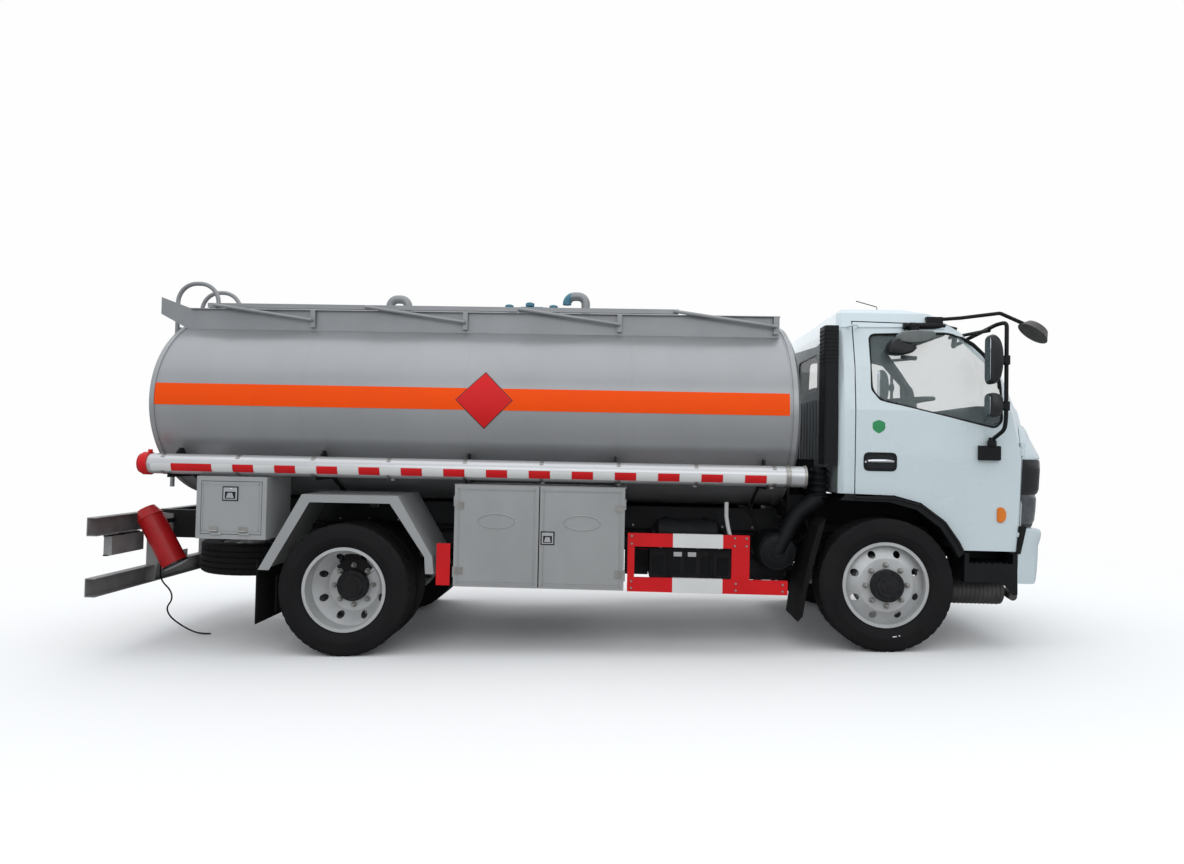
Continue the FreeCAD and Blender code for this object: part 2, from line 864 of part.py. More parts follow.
def tube_bracket(front):
    plate = prism("front", [
        (-S.rail_half_spread + S.sill_width / 2, sill_bottom + S.sill_height / 2),
        (-S.rail_half_spread, sill_bottom + S.sill_height), (-S.bracket_knee_spread, S.bracket_knee_height),
        (-S.saddle_half_width, arm_low), (-S.hose_tube_spread - S.hose_tube_radius / 2, arm_low),
        (-S.hose_tube_spread - S.hose_tube_radius / 2, S.hose_tube_height),
        (-S.hose_tube_spread + S.hose_tube_radius * 1.6, S.hose_tube_height + S.hose_tube_radius * 1.6),
        (-S.rail_half_spread + S.sill_width / 2, saddle_top)], front - S.saddle_thickness, front)
    return plate


brackets = [tube_bracket(front) for front in bracket_places]
bracket_room = rod("x", -S.hose_tube_rear, -S.hose_tube_spread, S.hose_tube_height,
                   S.hose_tube_rear, S.hose_tube_radius + S.seat_gap)
outrigger_right = cut(joined(*brackets), tank_room(S.seat_gap), bracket_room)
node("subframe", True, joined(cut(joined(*sills, *saddles), saddle_room), outrigger_right,
                              mirrored(outrigger_right)))

# Valve box with two doors on upright hinges at its outer edges
door_face = -S.side_line
box_inner = door_face + S.valve_box_depth
box_middle_x = (-S.valve_box_rear - S.valve_box_front) / 2
shell_face = door_face + S.door_sheet + S.seat_gap
box_hinge_y = door_face + S.door_sheet / 2


def valve_hinges(edge):
    """Two upright hinges on one outer edge of the valve box."""
    height = S.valve_box_top - S.valve_box_bottom
    return [hinge("z", edge, box_hinge_y, S.valve_box_bottom + height * share - S.box_hinge_length / 2,
                  S.box_hinge_length, S.box_hinge_radius, S.door_sheet / 2 + S.running_gap * 2)
            for share in box_hinge_shares]


box_hinge_shares = [0.14, 0.84]
rear_hinges = valve_hinges(-S.valve_box_rear)
front_hinges = valve_hinges(-S.valve_box_front)
valve_outer = block(-S.valve_box_rear, -S.valve_box_front, shell_face, box_inner, S.valve_box_bottom,
                    S.valve_box_top)
valve_room = block(-S.valve_box_rear + S.box_wall, -S.valve_box_front - S.box_wall,
                   shell_face - S.cut_overrun, box_inner - S.box_wall, S.valve_box_bottom + S.box_wall,
                   S.valve_box_top - S.box_wall)
valve_shell = cut(valve_outer, valve_room)
hanger_arms = [
    block(place_x - S.guard_section / 2, place_x + S.guard_section / 2, box_inner, -S.rail_half_spread,
          S.rail_top - S.rail_height + S.guard_section, S.rail_top - S.rail_height + S.guard_section * 3)
    for place_x in (-S.valve_box_rear + S.guard_post_width, -S.valve_box_front - S.guard_post_width)]
valve_hinge_leaves = [
    block(edge - S.box_hinge_radius * rear_side, edge + S.box_hinge_radius * (1 - rear_side), box_hinge_y,
          shell_face + S.box_hinge_radius * 2,
          S.valve_box_bottom + (S.valve_box_top - S.valve_box_bottom) * share - S.box_hinge_length / 2,
          S.valve_box_bottom + (S.valve_box_top - S.valve_box_bottom) * share + S.box_hinge_length / 2)
    for edge, rear_side in ((-S.valve_box_rear, 1), (-S.valve_box_front, 0)) for share in box_hinge_shares]
fixed_halves = [half[0] for half in rear_hinges + front_hinges]
fixed_rooms = [half[2] for half in rear_hinges + front_hinges]
outlets = [
    rod("y", box_middle_x + S.outlet_spread * side, shell_face + S.outlet_set_back,
        S.valve_box_bottom + S.outlet_rise, box_inner - S.box_wall / 2 - shell_face - S.outlet_set_back,
        S.outlet_radius)
    for side in (-1, 1)]
outlet_bodies = [
    rod("y", box_middle_x + S.outlet_spread * side, shell_face + S.outlet_set_back + S.outlet_length,
        S.valve_box_bottom + S.outlet_rise, box_inner - S.box_wall / 2 - shell_face - S.outlet_set_back
        - S.outlet_length, S.outlet_radius * outlet_flange_share)
    for side in (-1, 1)]
node("valve_box", True, joined(cut(joined(valve_shell, *hanger_arms, *valve_hinge_leaves), *fixed_rooms),
                               *fixed_halves, *outlets, *outlet_bodies))


def valve_door(label, x_low, x_high, hinges):
    panel = block(x_low, x_high, door_face, door_face + S.door_sheet, S.valve_box_bottom, S.valve_box_top)
    rooms = [room for half in hinges for room in half[3]]
    node(label, True, joined(cut(panel, *rooms), *[half[1] for half in hinges]))


valve_door("valve_door_rear", -S.valve_box_rear, box_middle_x - S.door_gap / 2, rear_hinges)
valve_door("valve_door_front", box_middle_x + S.door_gap / 2, -S.valve_box_front, front_hinges)

# Rear locker with a flap hinged at its foot
locker_shell = block(-S.locker_rear, -S.locker_front, door_face, door_face + S.locker_depth,
                     S.locker_bottom, S.locker_top)
locker_room = block(-S.locker_rear + S.locker_frame, -S.locker_front - S.locker_frame,
                    door_face - S.cut_overrun, door_face + S.locker_depth - S.box_wall,
                    S.locker_bottom + S.locker_frame, S.locker_top - S.locker_frame)
locker_arms = [
    block(place_x - S.guard_section / 2, place_x + S.guard_section / 2, door_face + S.locker_depth,
          -S.rail_half_spread, S.rail_top - S.guard_section * 2, S.rail_top)
    for place_x in (-S.locker_rear + S.guard_post_width, -S.locker_front - S.guard_post_width)]
flap_gap = S.door_gap / 2
flap_foot = S.locker_bottom + S.locker_frame
flap_hinges = [
    hinge("x", -S.locker_rear + (S.locker_rear - S.locker_front) * share - S.box_hinge_length / 2,
          door_face, flap_foot + flap_gap / 2, S.box_hinge_length, S.box_hinge_radius)
    for share in locker_hinge_shares]
locker_base = joined(cut(locker_shell, locker_room), *locker_arms)
node("locker", True, joined(cut(locker_base, *[half[2] for half in flap_hinges]),
                            *[half[0] for half in flap_hinges]))
flap = block(-S.locker_rear + S.locker_frame + flap_gap, -S.locker_front - S.locker_frame - flap_gap,
             door_face, door_face + S.door_sheet, flap_foot + flap_gap,
             S.locker_top - S.locker_frame - flap_gap)
node("locker_door", True, joined(cut(flap, *[room for half in flap_hinges for room in half[3]]),
                                 *[half[1] for half in flap_hinges]))


# Rear fenders: a folded sheet over the twin wheels with a flat outer rim
def fender_corners(gap, foot_drop):
    """The fender's side outline, moved in by a gap, its open foot drawn down past the edge."""
    corners = []
    for index, (along, up) in enumerate(fender_shares):
        shift = gap if along < 0 else -gap
        drop = gap if up > 2 else 0
        if index in (0, len(fender_shares) - 1):
            drop = foot_drop
        corners.append((-S.wheelbase + S.tyre_radius * along + shift, S.tyre_radius * up - drop))
    return corners


def fender():
    outer = prism("side", fender_corners(0, 0), -S.fender_line, -S.fender_line + S.fender_width)
    inner = prism("side", fender_corners(S.fender_sheet, S.cut_overrun), -S.fender_line - S.cut_overrun,
                  -S.fender_line + S.fender_width + S.cut_overrun)
    rim_outer = prism("side", fender_corners(0, 0), -S.fender_line, -S.fender_line + S.fender_sheet)
    rim_inner = prism("side", fender_corners(S.fender_rim, S.cut_overrun), -S.fender_line - S.cut_overrun,
                      -S.fender_line + S.fender_sheet + S.cut_overrun)
    inner_edge = -S.fender_line + S.fender_width
    stay_top = S.tyre_radius * fender_top_share - S.fender_sheet / 2
    sill_face = -S.rail_half_spread - S.seat_gap
    stay = prism("front", [(inner_edge - S.cut_overrun, stay_top - S.guard_section),
                           (sill_face, S.rail_top + S.sill_height / 2),
                           (sill_face, S.rail_top + S.sill_height - S.fender_sheet), (inner_edge, stay_top),
                           (inner_edge - S.cut_overrun, stay_top)],
                 -S.wheelbase - S.guard_section, -S.wheelbase + S.guard_section)
    return joined(cut(outer, inner), cut(rim_outer, rim_inner), stay)


fender_right = fender()
node("rear_fenders", True, fender_right, mirrored(fender_right))

# Mud flaps behind the wheels, rear and front
rear_flap_x = -S.wheelbase + S.tyre_radius * fender_shares[0][0]
rear_flap = prism("side", [
    (rear_flap_x - S.mud_flap_sheet - S.seat_gap, S.tyre_radius * fender_shares[0][1] + S.mud_flap_lap),
    (rear_flap_x - S.seat_gap, S.tyre_radius * fender_shares[0][1] + S.mud_flap_lap),
    (rear_flap_x - S.seat_gap, S.mud_flap_foot),
    (rear_flap_x - S.seat_gap - S.mud_flap_sheet, S.mud_flap_foot)], -S.fender_line, -S.fender_line + S.fender_width)
flap_line = [(S.tyre_radius * along, S.tyre_radius * up) for along, up in front_flap_shares]
front_flap = prism("side", flap_line, -S.flap_outer, -S.flap_inner)
flap_stay = block(-S.flap_stay_place - S.guard_section, -S.flap_stay_place, -S.flap_inner - S.cut_overrun,
                  -S.rail_half_spread, S.rail_top - S.guard_section * 3, S.rail_top - S.guard_section * 2)
front_flap_set = joined(front_flap, flap_stay)
node("mud_flaps", True, rear_flap, mirrored(rear_flap), front_flap_set, mirrored(front_flap_set))


# Side guards: two rails and a post each side, hung from the frame
def fender_plate():
    """The flat plate between the rear fender and the valve box."""
    panel = block(-S.plate_rear, -S.plate_front, -S.side_line, -S.side_line + S.box_wall, S.plate_bottom,
                  S.plate_top)
    stay = block(-(S.plate_rear + S.plate_front) / 2, -(S.plate_rear + S.plate_front) / 2 + S.guard_section,
                 -S.side_line + S.box_wall / 2, -S.rail_half_spread, S.plate_top - S.guard_section * 1.5,
                 S.plate_top - S.guard_section / 2)
    return joined(panel, stay)


def side_guard():
    outer = -S.side_line
    inner = outer + S.guard_section
    upper = block(-S.guard_rear, -S.guard_upper_front, outer, inner, S.guard_upper_bottom, S.guard_upper_top)
    lower = block(-S.guard_rear, -S.guard_lower_front, outer, inner, S.guard_lower_bottom, S.guard_lower_top)
    post = block(-S.guard_upper_front - S.guard_post_width, -S.guard_upper_front, outer, inner,
                 S.guard_lower_top - S.cut_overrun, S.guard_upper_top)
    rear_post = block(-S.guard_rear, -S.guard_rear + S.guard_rear_post, outer, inner,
                      S.guard_lower_top - S.cut_overrun, S.guard_upper_bottom + S.cut_overrun)
    stays = [
        block(-S.guard_upper_front - S.guard_post_width * share, -S.guard_upper_front
              - S.guard_post_width * share + S.guard_section, inner - S.guard_section / 2,
              -S.rail_half_spread, S.guard_upper_bottom + S.guard_section,
              S.guard_upper_bottom + S.guard_section * 2)
        for share in guard_stay_shares]
    return joined(upper, lower, post, rear_post, *stays)


guard_right = side_guard()
plate_beside_fender = fender_plate()
node("side_guards", True, guard_right, mirrored(guard_right), plate_beside_fender,
     mirrored(plate_beside_fender))

# Rear underrun guard: two channels open to the front, on hangers from the frame
def channel_bar(bottom):
    rear = -S.underrun_rear
    front = rear + S.underrun_bar_depth
    top = bottom + S.underrun_bar_height
    outer = block(rear, front, -S.side_line, S.side_line, bottom, top)
    room = block(rear + S.underrun_sheet, front + S.cut_overrun, -S.side_line - S.cut_overrun,
                 S.side_line + S.cut_overrun, bottom + S.underrun_sheet, top - S.underrun_sheet)
    return cut(outer, room)


hanger_corners = [(-S.underrun_rear + S.underrun_sheet, S.upper_bar_bottom + S.underrun_bar_height),
                  (-S.underrun_rear + S.underrun_sheet, S.lower_bar_bottom),
                  (-S.underrun_rear + S.underrun_bar_depth, S.lower_bar_bottom),
                  (-S.underrun_rear + S.underrun_bar_depth * 2, S.lamp_middle),
                  (-S.underrun_rear + S.underrun_bar_depth * 3, S.rail_top - S.rail_height),
                  (-S.underrun_rear + S.underrun_bar_depth * 3, S.rail_top - S.guard_section)]
hangers = [
    prism("side", hanger_corners, middle - S.hanger_width / 2, middle + S.hanger_width / 2)
    for middle in (-S.rail_half_spread - S.hanger_width / 2, S.rail_half_spread + S.hanger_width / 2)]
strap_x = -S.strap_place
strap_y = -S.strap_spread
strap_tab = block(strap_x - S.guard_section / 2, strap_x + S.guard_section / 2, strap_y - S.underrun_sheet,
                  -S.rail_half_spread - S.hanger_width / 2, S.rail_top - S.rail_height,
                  S.rail_top - S.rail_height + S.underrun_sheet * 2)
strap_drop = block(strap_x - S.guard_section / 2, strap_x + S.guard_section / 2, strap_y - S.underrun_sheet,
                   strap_y + S.underrun_sheet, S.strap_top, S.rail_top - S.rail_height + S.underrun_sheet * 2)
underrun = [channel_bar(S.upper_bar_bottom), channel_bar(S.lower_bar_bottom), *hangers, strap_tab, strap_drop]

# Tail lamps between the two bars, on short stems
lamp = block(-S.underrun_rear + S.underrun_sheet, -S.underrun_rear + S.underrun_sheet + S.lamp_depth,
             -S.lamp_outer, -S.lamp_inner, S.lamp_middle - S.lamp_height / 2, S.lamp_middle + S.lamp_height / 2)
stem = block(-S.underrun_rear + S.underrun_sheet * 2, -S.underrun_rear + S.underrun_sheet * 5,
             -(S.lamp_inner + S.lamp_outer) / 2 - S.guard_section, -(S.lamp_inner + S.lamp_outer) / 2,
             S.lamp_middle, S.upper_bar_bottom)
lamp_right = joined(lamp, stem)
node("rear_underrun", True, joined(*underrun, lamp_right, mirrored(lamp_right)))


# Leaning fire extinguisher holders ahead of the underrun guard
def extinguisher():
    barrel = turned("z", [(0, 0), (0, S.extinguisher_radius), (S.extinguisher_length * 0.86, S.extinguisher_radius),
                          (S.extinguisher_length, S.extinguisher_radius * 0.7), (S.extinguisher_length, 0)],
                    -S.extinguisher_foot_x, -S.extinguisher_spread, S.extinguisher_foot_z)
    barrel.Placement.Rotation = FreeCAD.Rotation(FreeCAD.Vector(0, -1, 0), 1)
    bind(barrel, "Placement.Rotation.Angle", S.extinguisher_lean)
    arm_rise = S.rail_top - S.guard_section * 2 - S.extinguisher_foot_z
    arm_x = -S.extinguisher_foot_x - arm_rise * sine(S.extinguisher_lean) / cosine(S.extinguisher_lean)
    arm = block(arm_x - S.guard_section / 2, arm_x + S.guard_section / 2, -S.extinguisher_spread,
                -S.rail_half_spread - S.hanger_width - S.seat_gap, S.rail_top - S.guard_section * 3, S.rail_top - S.guard_section * 2)
    return joined(barrel, arm)


extinguisher_right = extinguisher()
node("extinguisher_holders", True, extinguisher_right, mirrored(extinguisher_right))


# Road wheels, standing level on the ground
def tyre(x, y, z, axis="y"):
    half = S.tyre_width / 2
    crown = S.tyre_radius
    bead = S.rim_width / 2 - S.seat_gap
    profile = [(-S.tread_width / 2, crown), (S.tread_width / 2, crown),
               (S.shoulder_width / 2, crown - S.shoulder_drop), (half, crown - S.tyre_bulge_drop),
               (bead, S.rim_radius + S.flange_height), (bead, S.rim_radius + S.seat_gap),
               (-bead, S.rim_radius + S.seat_gap), (-bead, S.rim_radius + S.flange_height),
               (-half, crown - S.tyre_bulge_drop), (-S.shoulder_width / 2, crown - S.shoulder_drop)]
    return turned(axis, profile, x, y, z)


def rim_barrel(x, y, z, axis="y"):
    bead = S.rim_width / 2
    edge = bead + S.flange_width
    lip = S.rim_radius + S.flange_height
    profile = [(-edge, lip), (-edge, S.rim_radius - S.rim_wall), (edge, S.rim_radius - S.rim_wall),
               (edge, lip), (bead, lip), (bead, S.rim_radius), (-bead, S.rim_radius), (-bead, lip)]
    return turned(axis, profile, x, y, z)


def wheel_disc(x, y, z, face, meet, thickness, axis="y"):
    """The pressed disc, from its nut face out to where it meets the barrel."""
    outer = S.rim_radius - S.rim_wall + S.rim_wall / 2
    profile = [(face, S.hub_radius - S.rim_wall), (face, S.nut_disc_radius), (meet, outer),
               (meet + thickness, outer), (face + thickness, S.nut_disc_radius),
               (face + thickness, S.hub_radius - S.rim_wall)]
    disc = turned(axis, profile, x, y, z)
    holes = []
    for index in range(8):
        turn = math.pi * (index + 0.5) / 4
        across = S.hand_hole_circle * math.cos(turn)
        up = S.hand_hole_circle * math.sin(turn)
        start = meet - S.tyre_width
        if axis == "y":
            holes.append(rod("y", x + across, y + start, z + up, S.tyre_width * 2, S.hand_hole_radius))
        else:
            holes.append(rod("z", x + across, y + up, z + start, S.tyre_width * 2, S.hand_hole_radius))
    return cut(disc, *holes)


disc_meet = S.well_width / 2
front_wheel_y = -S.front_track / 2
outer_wheel_y = -(S.rear_track + S.dual_spacing) / 2
inner_wheel_y = -(S.rear_track - S.dual_spacing) / 2
dual_plane_y = -S.rear_track / 2


def hub(x, z, disc_y, drum_shift):
    """Hub, brake drum and grease cap, bored for the spindle from the inner side."""
    drum_y = disc_y + S.disc_thickness + drum_shift
    end_y = drum_y + S.drum_length
    profile_parts = [
        rod("y", x, disc_y - S.hub_stick_out, z, S.hub_stick_out + end_y - disc_y, S.hub_radius),
        rod("y", x, drum_y, z, S.drum_length, S.drum_radius)]
    bore = rod("y", x, disc_y + S.disc_thickness, z, end_y - disc_y, S.hub_bore_radius + S.running_gap)
    return cut(joined(*profile_parts), bore)


front_disc_y = front_wheel_y - S.front_disc_offset
front_rim = joined(rim_barrel(0, front_wheel_y, S.tyre_radius),
                   wheel_disc(0, front_wheel_y, S.tyre_radius, -S.front_disc_offset, -disc_meet,
                              S.disc_thickness),
                   hub(0, S.tyre_radius, front_disc_y, S.drum_shift))
front_tyre = tyre(0, front_wheel_y, S.tyre_radius)
node("rim_front_right", False, front_rim)
node("rim_front_left", False, mirrored(front_rim))
node("tyre_front_right", False, front_tyre)
node("tyre_front_left", False, mirrored(front_tyre))

rear_rim = joined(
    rim_barrel(-S.wheelbase, outer_wheel_y, S.tyre_radius),
    rim_barrel(-S.wheelbase, inner_wheel_y, S.tyre_radius),
    wheel_disc(-S.wheelbase, dual_plane_y, S.tyre_radius, 0, outer_wheel_y - dual_plane_y + disc_meet,
               -S.disc_thickness),
    wheel_disc(-S.wheelbase, dual_plane_y, S.tyre_radius, 0, inner_wheel_y - dual_plane_y - disc_meet,
               S.disc_thickness),
    hub(-S.wheelbase, S.tyre_radius, dual_plane_y - S.disc_thickness, S.drum_shift + S.disc_thickness))
rear_tyres = [tyre(-S.wheelbase, middle, S.tyre_radius) for middle in (outer_wheel_y, inner_wheel_y)]
node("rim_rear_right", False, rear_rim)
node("rim_rear_left", False, mirrored(rear_rim))
node("tyres_rear_right", False, *rear_tyres)
node("tyres_rear_left", False, *[mirrored(item) for item in rear_tyres])

# Spare wheel, flat under the tail and bolted up through its disc
spare_x = -S.spare_place
spare_rim = joined(rim_barrel(spare_x, 0, S.spare_middle, "z"),
                   wheel_disc(spare_x, 0, S.spare_middle, S.front_disc_offset, disc_meet, -S.disc_thickness, "z"),
                   rod("z", spare_x, 0, S.spare_middle + S.front_disc_offset - S.disc_thickness,
                       S.rail_top - S.rail_height / 2 - S.spare_middle - S.front_disc_offset
                       + S.disc_thickness, S.hub_radius))
spare_seat = rod("y", spare_x, -S.rail_half_spread, S.rail_top - S.rail_height / 2, S.rail_half_spread * 2,
                 S.cross_member_radius + S.seat_gap)
node("spare_rim", True, cut(spare_rim, spare_seat))
node("spare_tyre", True, tyre(spare_x, 0, S.spare_middle, "z"))

# Folding handrail: four arms on pins in the posts, tied by one top rail
for number, middle in enumerate(post_places, 1):
    arm_run = S.rail_pivot_height - S.arm_pivot_height
    bar = bent_tube([(middle, arm_outer + S.arm_section / 2, S.arm_pivot_height),
                     (middle - S.rail_arm, arm_outer + S.arm_section / 2, S.rail_pivot_height)],
                    S.arm_section / 2, S.arm_section)
    post_pin = rod("y", middle, arm_outer + S.arm_section / 2, S.arm_pivot_height,
                   S.arm_section / 2 + S.arm_side_gap + S.post_sheet, S.rail_pin_radius)
    rail_pin = rod("y", middle - S.rail_arm, arm_outer + S.arm_section / 2, S.rail_pivot_height,
                   S.arm_section / 2 + S.arm_side_gap + S.rail_section / 2, S.rail_pin_radius)
    node(f"handrail_arm_{number}", True, joined(bar, post_pin, rail_pin))
rail_inner_y = -S.coaming_spread
rail_bar = block(-S.handrail_rear, -S.handrail_front, -S.coaming_spread - S.rail_section, rail_inner_y,
                 S.rail_pivot_height - S.rail_section / 2, S.rail_pivot_height + S.rail_section / 2)
rail_holes = [
    rod("y", middle - S.rail_arm, arm_outer, S.rail_pivot_height,
        S.rail_section * 2, S.rail_pin_radius + S.running_gap * (1 if number == 0 else open_pin_share))
    for number, middle in enumerate(post_places)]
node("handrail_rail", True, cut(rail_bar, *rail_holes))

# Ladder on the rear head, its stringers turned over into hoops above the visor
ladder_x = -S.tank_rear - S.head_depth - S.ladder_stand_off
stringers = []
for side in (-1, 1):
    y = S.ladder_spread * side - S.ladder_shift
    stringers.append(bent_tube([
        (ladder_x, y, S.ladder_foot), (ladder_x, y, S.hoop_height),
        (ladder_x + S.hoop_length, y, S.hoop_height), (ladder_x + S.hoop_length, y, plate_base)],
        S.ladder_tube, S.hoop_length * hoop_bend_share))
rung_step = (S.coaming_top - S.ladder_foot) / S.rung_count
rungs = [rod("y", ladder_x, -S.ladder_spread - S.ladder_shift, S.ladder_foot + rung_step * (index + 0.5), S.ladder_spread * 2,
             S.ladder_tube * rung_share) for index in range(int(S.rung_count.value))]
stays = [
    rod("x", ladder_x, side * S.ladder_spread - S.ladder_shift, S.tank_middle + S.tank_half_height * share,
        S.ladder_stand_off + S.head_depth * 2, S.ladder_tube * rung_share)
    for side in (-1, 1) for share in ladder_stay_shares]
node("ladder", True, cut(joined(*stringers, *rungs, *stays), tank_barrel()))

# Tank top: manhole neck with a hinged lid, its cover box and two vents
top_z = S.tank_middle + S.tank_half_height
lid_hinge = hinge("y", -S.manhole_place - S.lid_hinge_reach, -S.lid_hinge_length / 2,
                  top_z + S.manhole_height + S.lid_thickness / 2, S.lid_hinge_length, S.box_hinge_radius)
neck_outer = rod("z", -S.manhole_place, 0, top_z - S.manhole_height, S.manhole_height * 2, S.manhole_radius)
neck_inner = rod("z", -S.manhole_place, 0, top_z, S.cut_overrun * 2, S.manhole_radius - S.manhole_wall * 5)
neck_leaf = block(-S.manhole_place - S.lid_hinge_reach - S.box_hinge_radius,
                  -S.manhole_place - S.manhole_radius + S.manhole_wall, -S.lid_hinge_length / 2,
                  S.lid_hinge_length / 2, top_z + S.manhole_height / 2, top_z + S.manhole_height - S.seat_gap)
vents = []
for place_x, side in ((-S.first_vent_place, 1), (-S.second_vent_place, -1)):
    vents.append(bent_tube([
        (place_x, S.vent_spread * side, top_z - S.manhole_height),
        (place_x, S.vent_spread * side, top_z + S.vent_height),
        (place_x - S.vent_bend * 2.2, S.vent_spread * side, top_z + S.vent_height),
        (place_x - S.vent_bend * 2.2, S.vent_spread * side, top_z + S.vent_height - S.vent_bend)],
        S.vent_pipe_radius, S.vent_bend * 0.9))
hinge_ears = [
    block(-S.manhole_place - S.lid_hinge_reach - S.box_hinge_radius, -S.manhole_place - S.lid_hinge_reach
          + S.box_hinge_radius, y_low, y_low + S.lid_hinge_length / 3, top_z + S.manhole_height / 2,
          top_z + S.manhole_height + S.lid_thickness / 2)
    for y_low in (-S.lid_hinge_length / 2, S.lid_hinge_length / 6)]
fittings = joined(cut(joined(neck_outer, neck_leaf, *hinge_ears), neck_inner, lid_hinge[2]), lid_hinge[0])
node("tank_top_fittings", True, cut(joined(fittings, *vents), tank_room(S.seat_gap)))
lid = turned("z", [(0, 0), (0, S.lid_radius), (S.lid_thickness * 0.7, S.lid_radius),
                   (S.lid_thickness, S.lid_radius - S.lid_thickness), (S.lid_thickness, 0)],
             -S.manhole_place, 0, top_z + S.manhole_height + S.seat_gap)
lid_ear = block(-S.manhole_place - S.lid_hinge_reach, -S.manhole_place - S.lid_radius + S.lid_thickness * 2,
                -S.lid_hinge_length / 6 + S.running_gap, S.lid_hinge_length / 6 - S.running_gap,
                top_z + S.manhole_height + S.seat_gap, top_z + S.manhole_height + S.lid_thickness * 0.6)
ear_bore = rod("y", -S.manhole_place - S.lid_hinge_reach, -S.lid_hinge_length, top_z + S.manhole_height
               + S.lid_thickness / 2, S.lid_hinge_length * 2, S.box_hinge_radius * hinge_pin_share + S.running_gap)
node("manhole_lid", True, cut(joined(lid, lid_ear, lid_hinge[1]), ear_bore))

# Boxes and tanks hung on the rails
battery = block(-S.battery_rear, -S.battery_front, -S.battery_outer, -S.rail_half_spread, S.battery_bottom,
                S.battery_top)
node("battery_box", True, battery)
fuel_half = S.fuel_radius
fuel = prism("front", [
    (S.rail_half_spread, S.fuel_middle - fuel_half), (S.fuel_outer, S.fuel_middle - fuel_half),
    (S.fuel_outer, S.fuel_middle + fuel_half), (S.rail_half_spread, S.fuel_middle + fuel_half)],
    -S.fuel_rear, -S.fuel_front, [(fuel_half * 0.4, (0, 1, 2, 3))])
node("fuel_tank", True, fuel)
filter_drum = turned("y", [(0, 0), (0, S.filter_radius * 0.9), (S.filter_radius * 0.25, S.filter_radius),
                           (S.filter_outer - S.filter_inner, S.filter_radius),
                           (S.filter_outer - S.filter_inner, 0)],
                     -S.filter_place, -S.filter_outer, S.filter_height)
filter_arm = block(-S.filter_place - S.guard_section, -S.filter_place + S.guard_section, -S.filter_inner
                   - S.cut_overrun, -S.rail_half_spread, S.filter_height, S.filter_height + S.guard_section * 2)
filter_duct = bent_tube([
    (-S.filter_place, -S.duct_spread, S.filter_height),
    (-S.filter_place + S.filter_radius, -S.duct_spread, S.filter_height + S.filter_radius * 2),
    (-S.bellows_place, -S.duct_spread, S.bellows_bottom)], S.duct_radius, S.duct_radius * 2)
bellows_profile = [(0, 0), (0, S.bellows_radius)]
bellows_pitch = (S.bellows_top - S.bellows_bottom) / bellows_count
for index in range(bellows_count):
    base = bellows_pitch * index
    bellows_profile.append((base + bellows_pitch * 0.4, S.bellows_radius * 1.3))
    bellows_profile.append((base + bellows_pitch * 0.8, S.bellows_radius))
bellows_profile.append((S.bellows_top - S.bellows_bottom, S.bellows_radius))
bellows_profile.append((S.bellows_top - S.bellows_bottom, 0))
bellows = turned("z", bellows_profile, -S.bellows_place, -S.duct_spread, S.bellows_bottom)
node("air_filter", True, joined(filter_drum, filter_arm, filter_duct, bellows))

# Axles, level between the wheels
axle_z = S.tyre_radius
beam_shoulder = S.kingpin_spread - S.knuckle_width * beam_shoulder_share
beam = prism("front", [
    (-S.kingpin_spread, axle_z - S.beam_height / 2), (-beam_shoulder, axle_z - S.beam_height / 2),
    (-S.kingpin_spread * 0.68, axle_z - S.beam_height / 2 - S.beam_drop),
    (S.kingpin_spread * 0.68, axle_z - S.beam_height / 2 - S.beam_drop),
    (beam_shoulder, axle_z - S.beam_height / 2), (S.kingpin_spread, axle_z - S.beam_height / 2),
    (S.kingpin_spread, axle_z + S.beam_height / 2), (S.kingpin_spread * 0.64, axle_z + S.beam_height / 2 - S.beam_drop),
    (-S.kingpin_spread * 0.64, axle_z + S.beam_height / 2 - S.beam_drop), (-S.kingpin_spread, axle_z + S.beam_height / 2)],
    -S.beam_width / 2, S.beam_width / 2)
beam_eyes = [rod("z", 0, S.kingpin_spread * side, axle_z - S.beam_height / 2, S.beam_height, S.knuckle_width / 2)
             for side in (-1, 1)]
kingpin_bores = [rod("z", 0, S.kingpin_spread * side, axle_z - S.beam_height, S.beam_height * 2,
                     S.kingpin_radius + S.running_gap) for side in (-1, 1)]
rear_disc_y = dual_plane_y - S.disc_thickness
rear_drum_end = rear_disc_y + S.disc_thickness + S.drum_shift + S.disc_thickness + S.drum_length
axle_tube = rod("y", -S.wheelbase, rear_drum_end + S.running_gap * 10, axle_z,
                -rear_drum_end * 2 - S.running_gap * 20, S.axle_tube_radius)
rear_spindle = rod("y", -S.wheelbase, rear_disc_y + S.disc_thickness + S.running_gap, axle_z,
                   -rear_disc_y * 2 - S.disc_thickness * 2 - S.running_gap * 2, S.hub_bore_radius)
differential = turned("y", [(-S.diff_radius * 0.9, 0), (-S.diff_radius * 0.9, S.axle_tube_radius * 1.3),
                            (-S.diff_radius * 0.4, S.diff_radius), (S.diff_radius * 0.4, S.diff_radius),
                            (S.diff_radius * 0.9, S.axle_tube_radius * 1.3), (S.diff_radius * 0.9, 0)],
                      -S.wheelbase, 0, axle_z)
pinion = rod("x", -S.wheelbase, 0, axle_z, S.diff_radius * 1.9, S.axle_tube_radius * 1.4)
node("axles", False, cut(joined(beam, *beam_eyes), *kingpin_bores),
     joined(axle_tube, rear_spindle, differential, pinion))


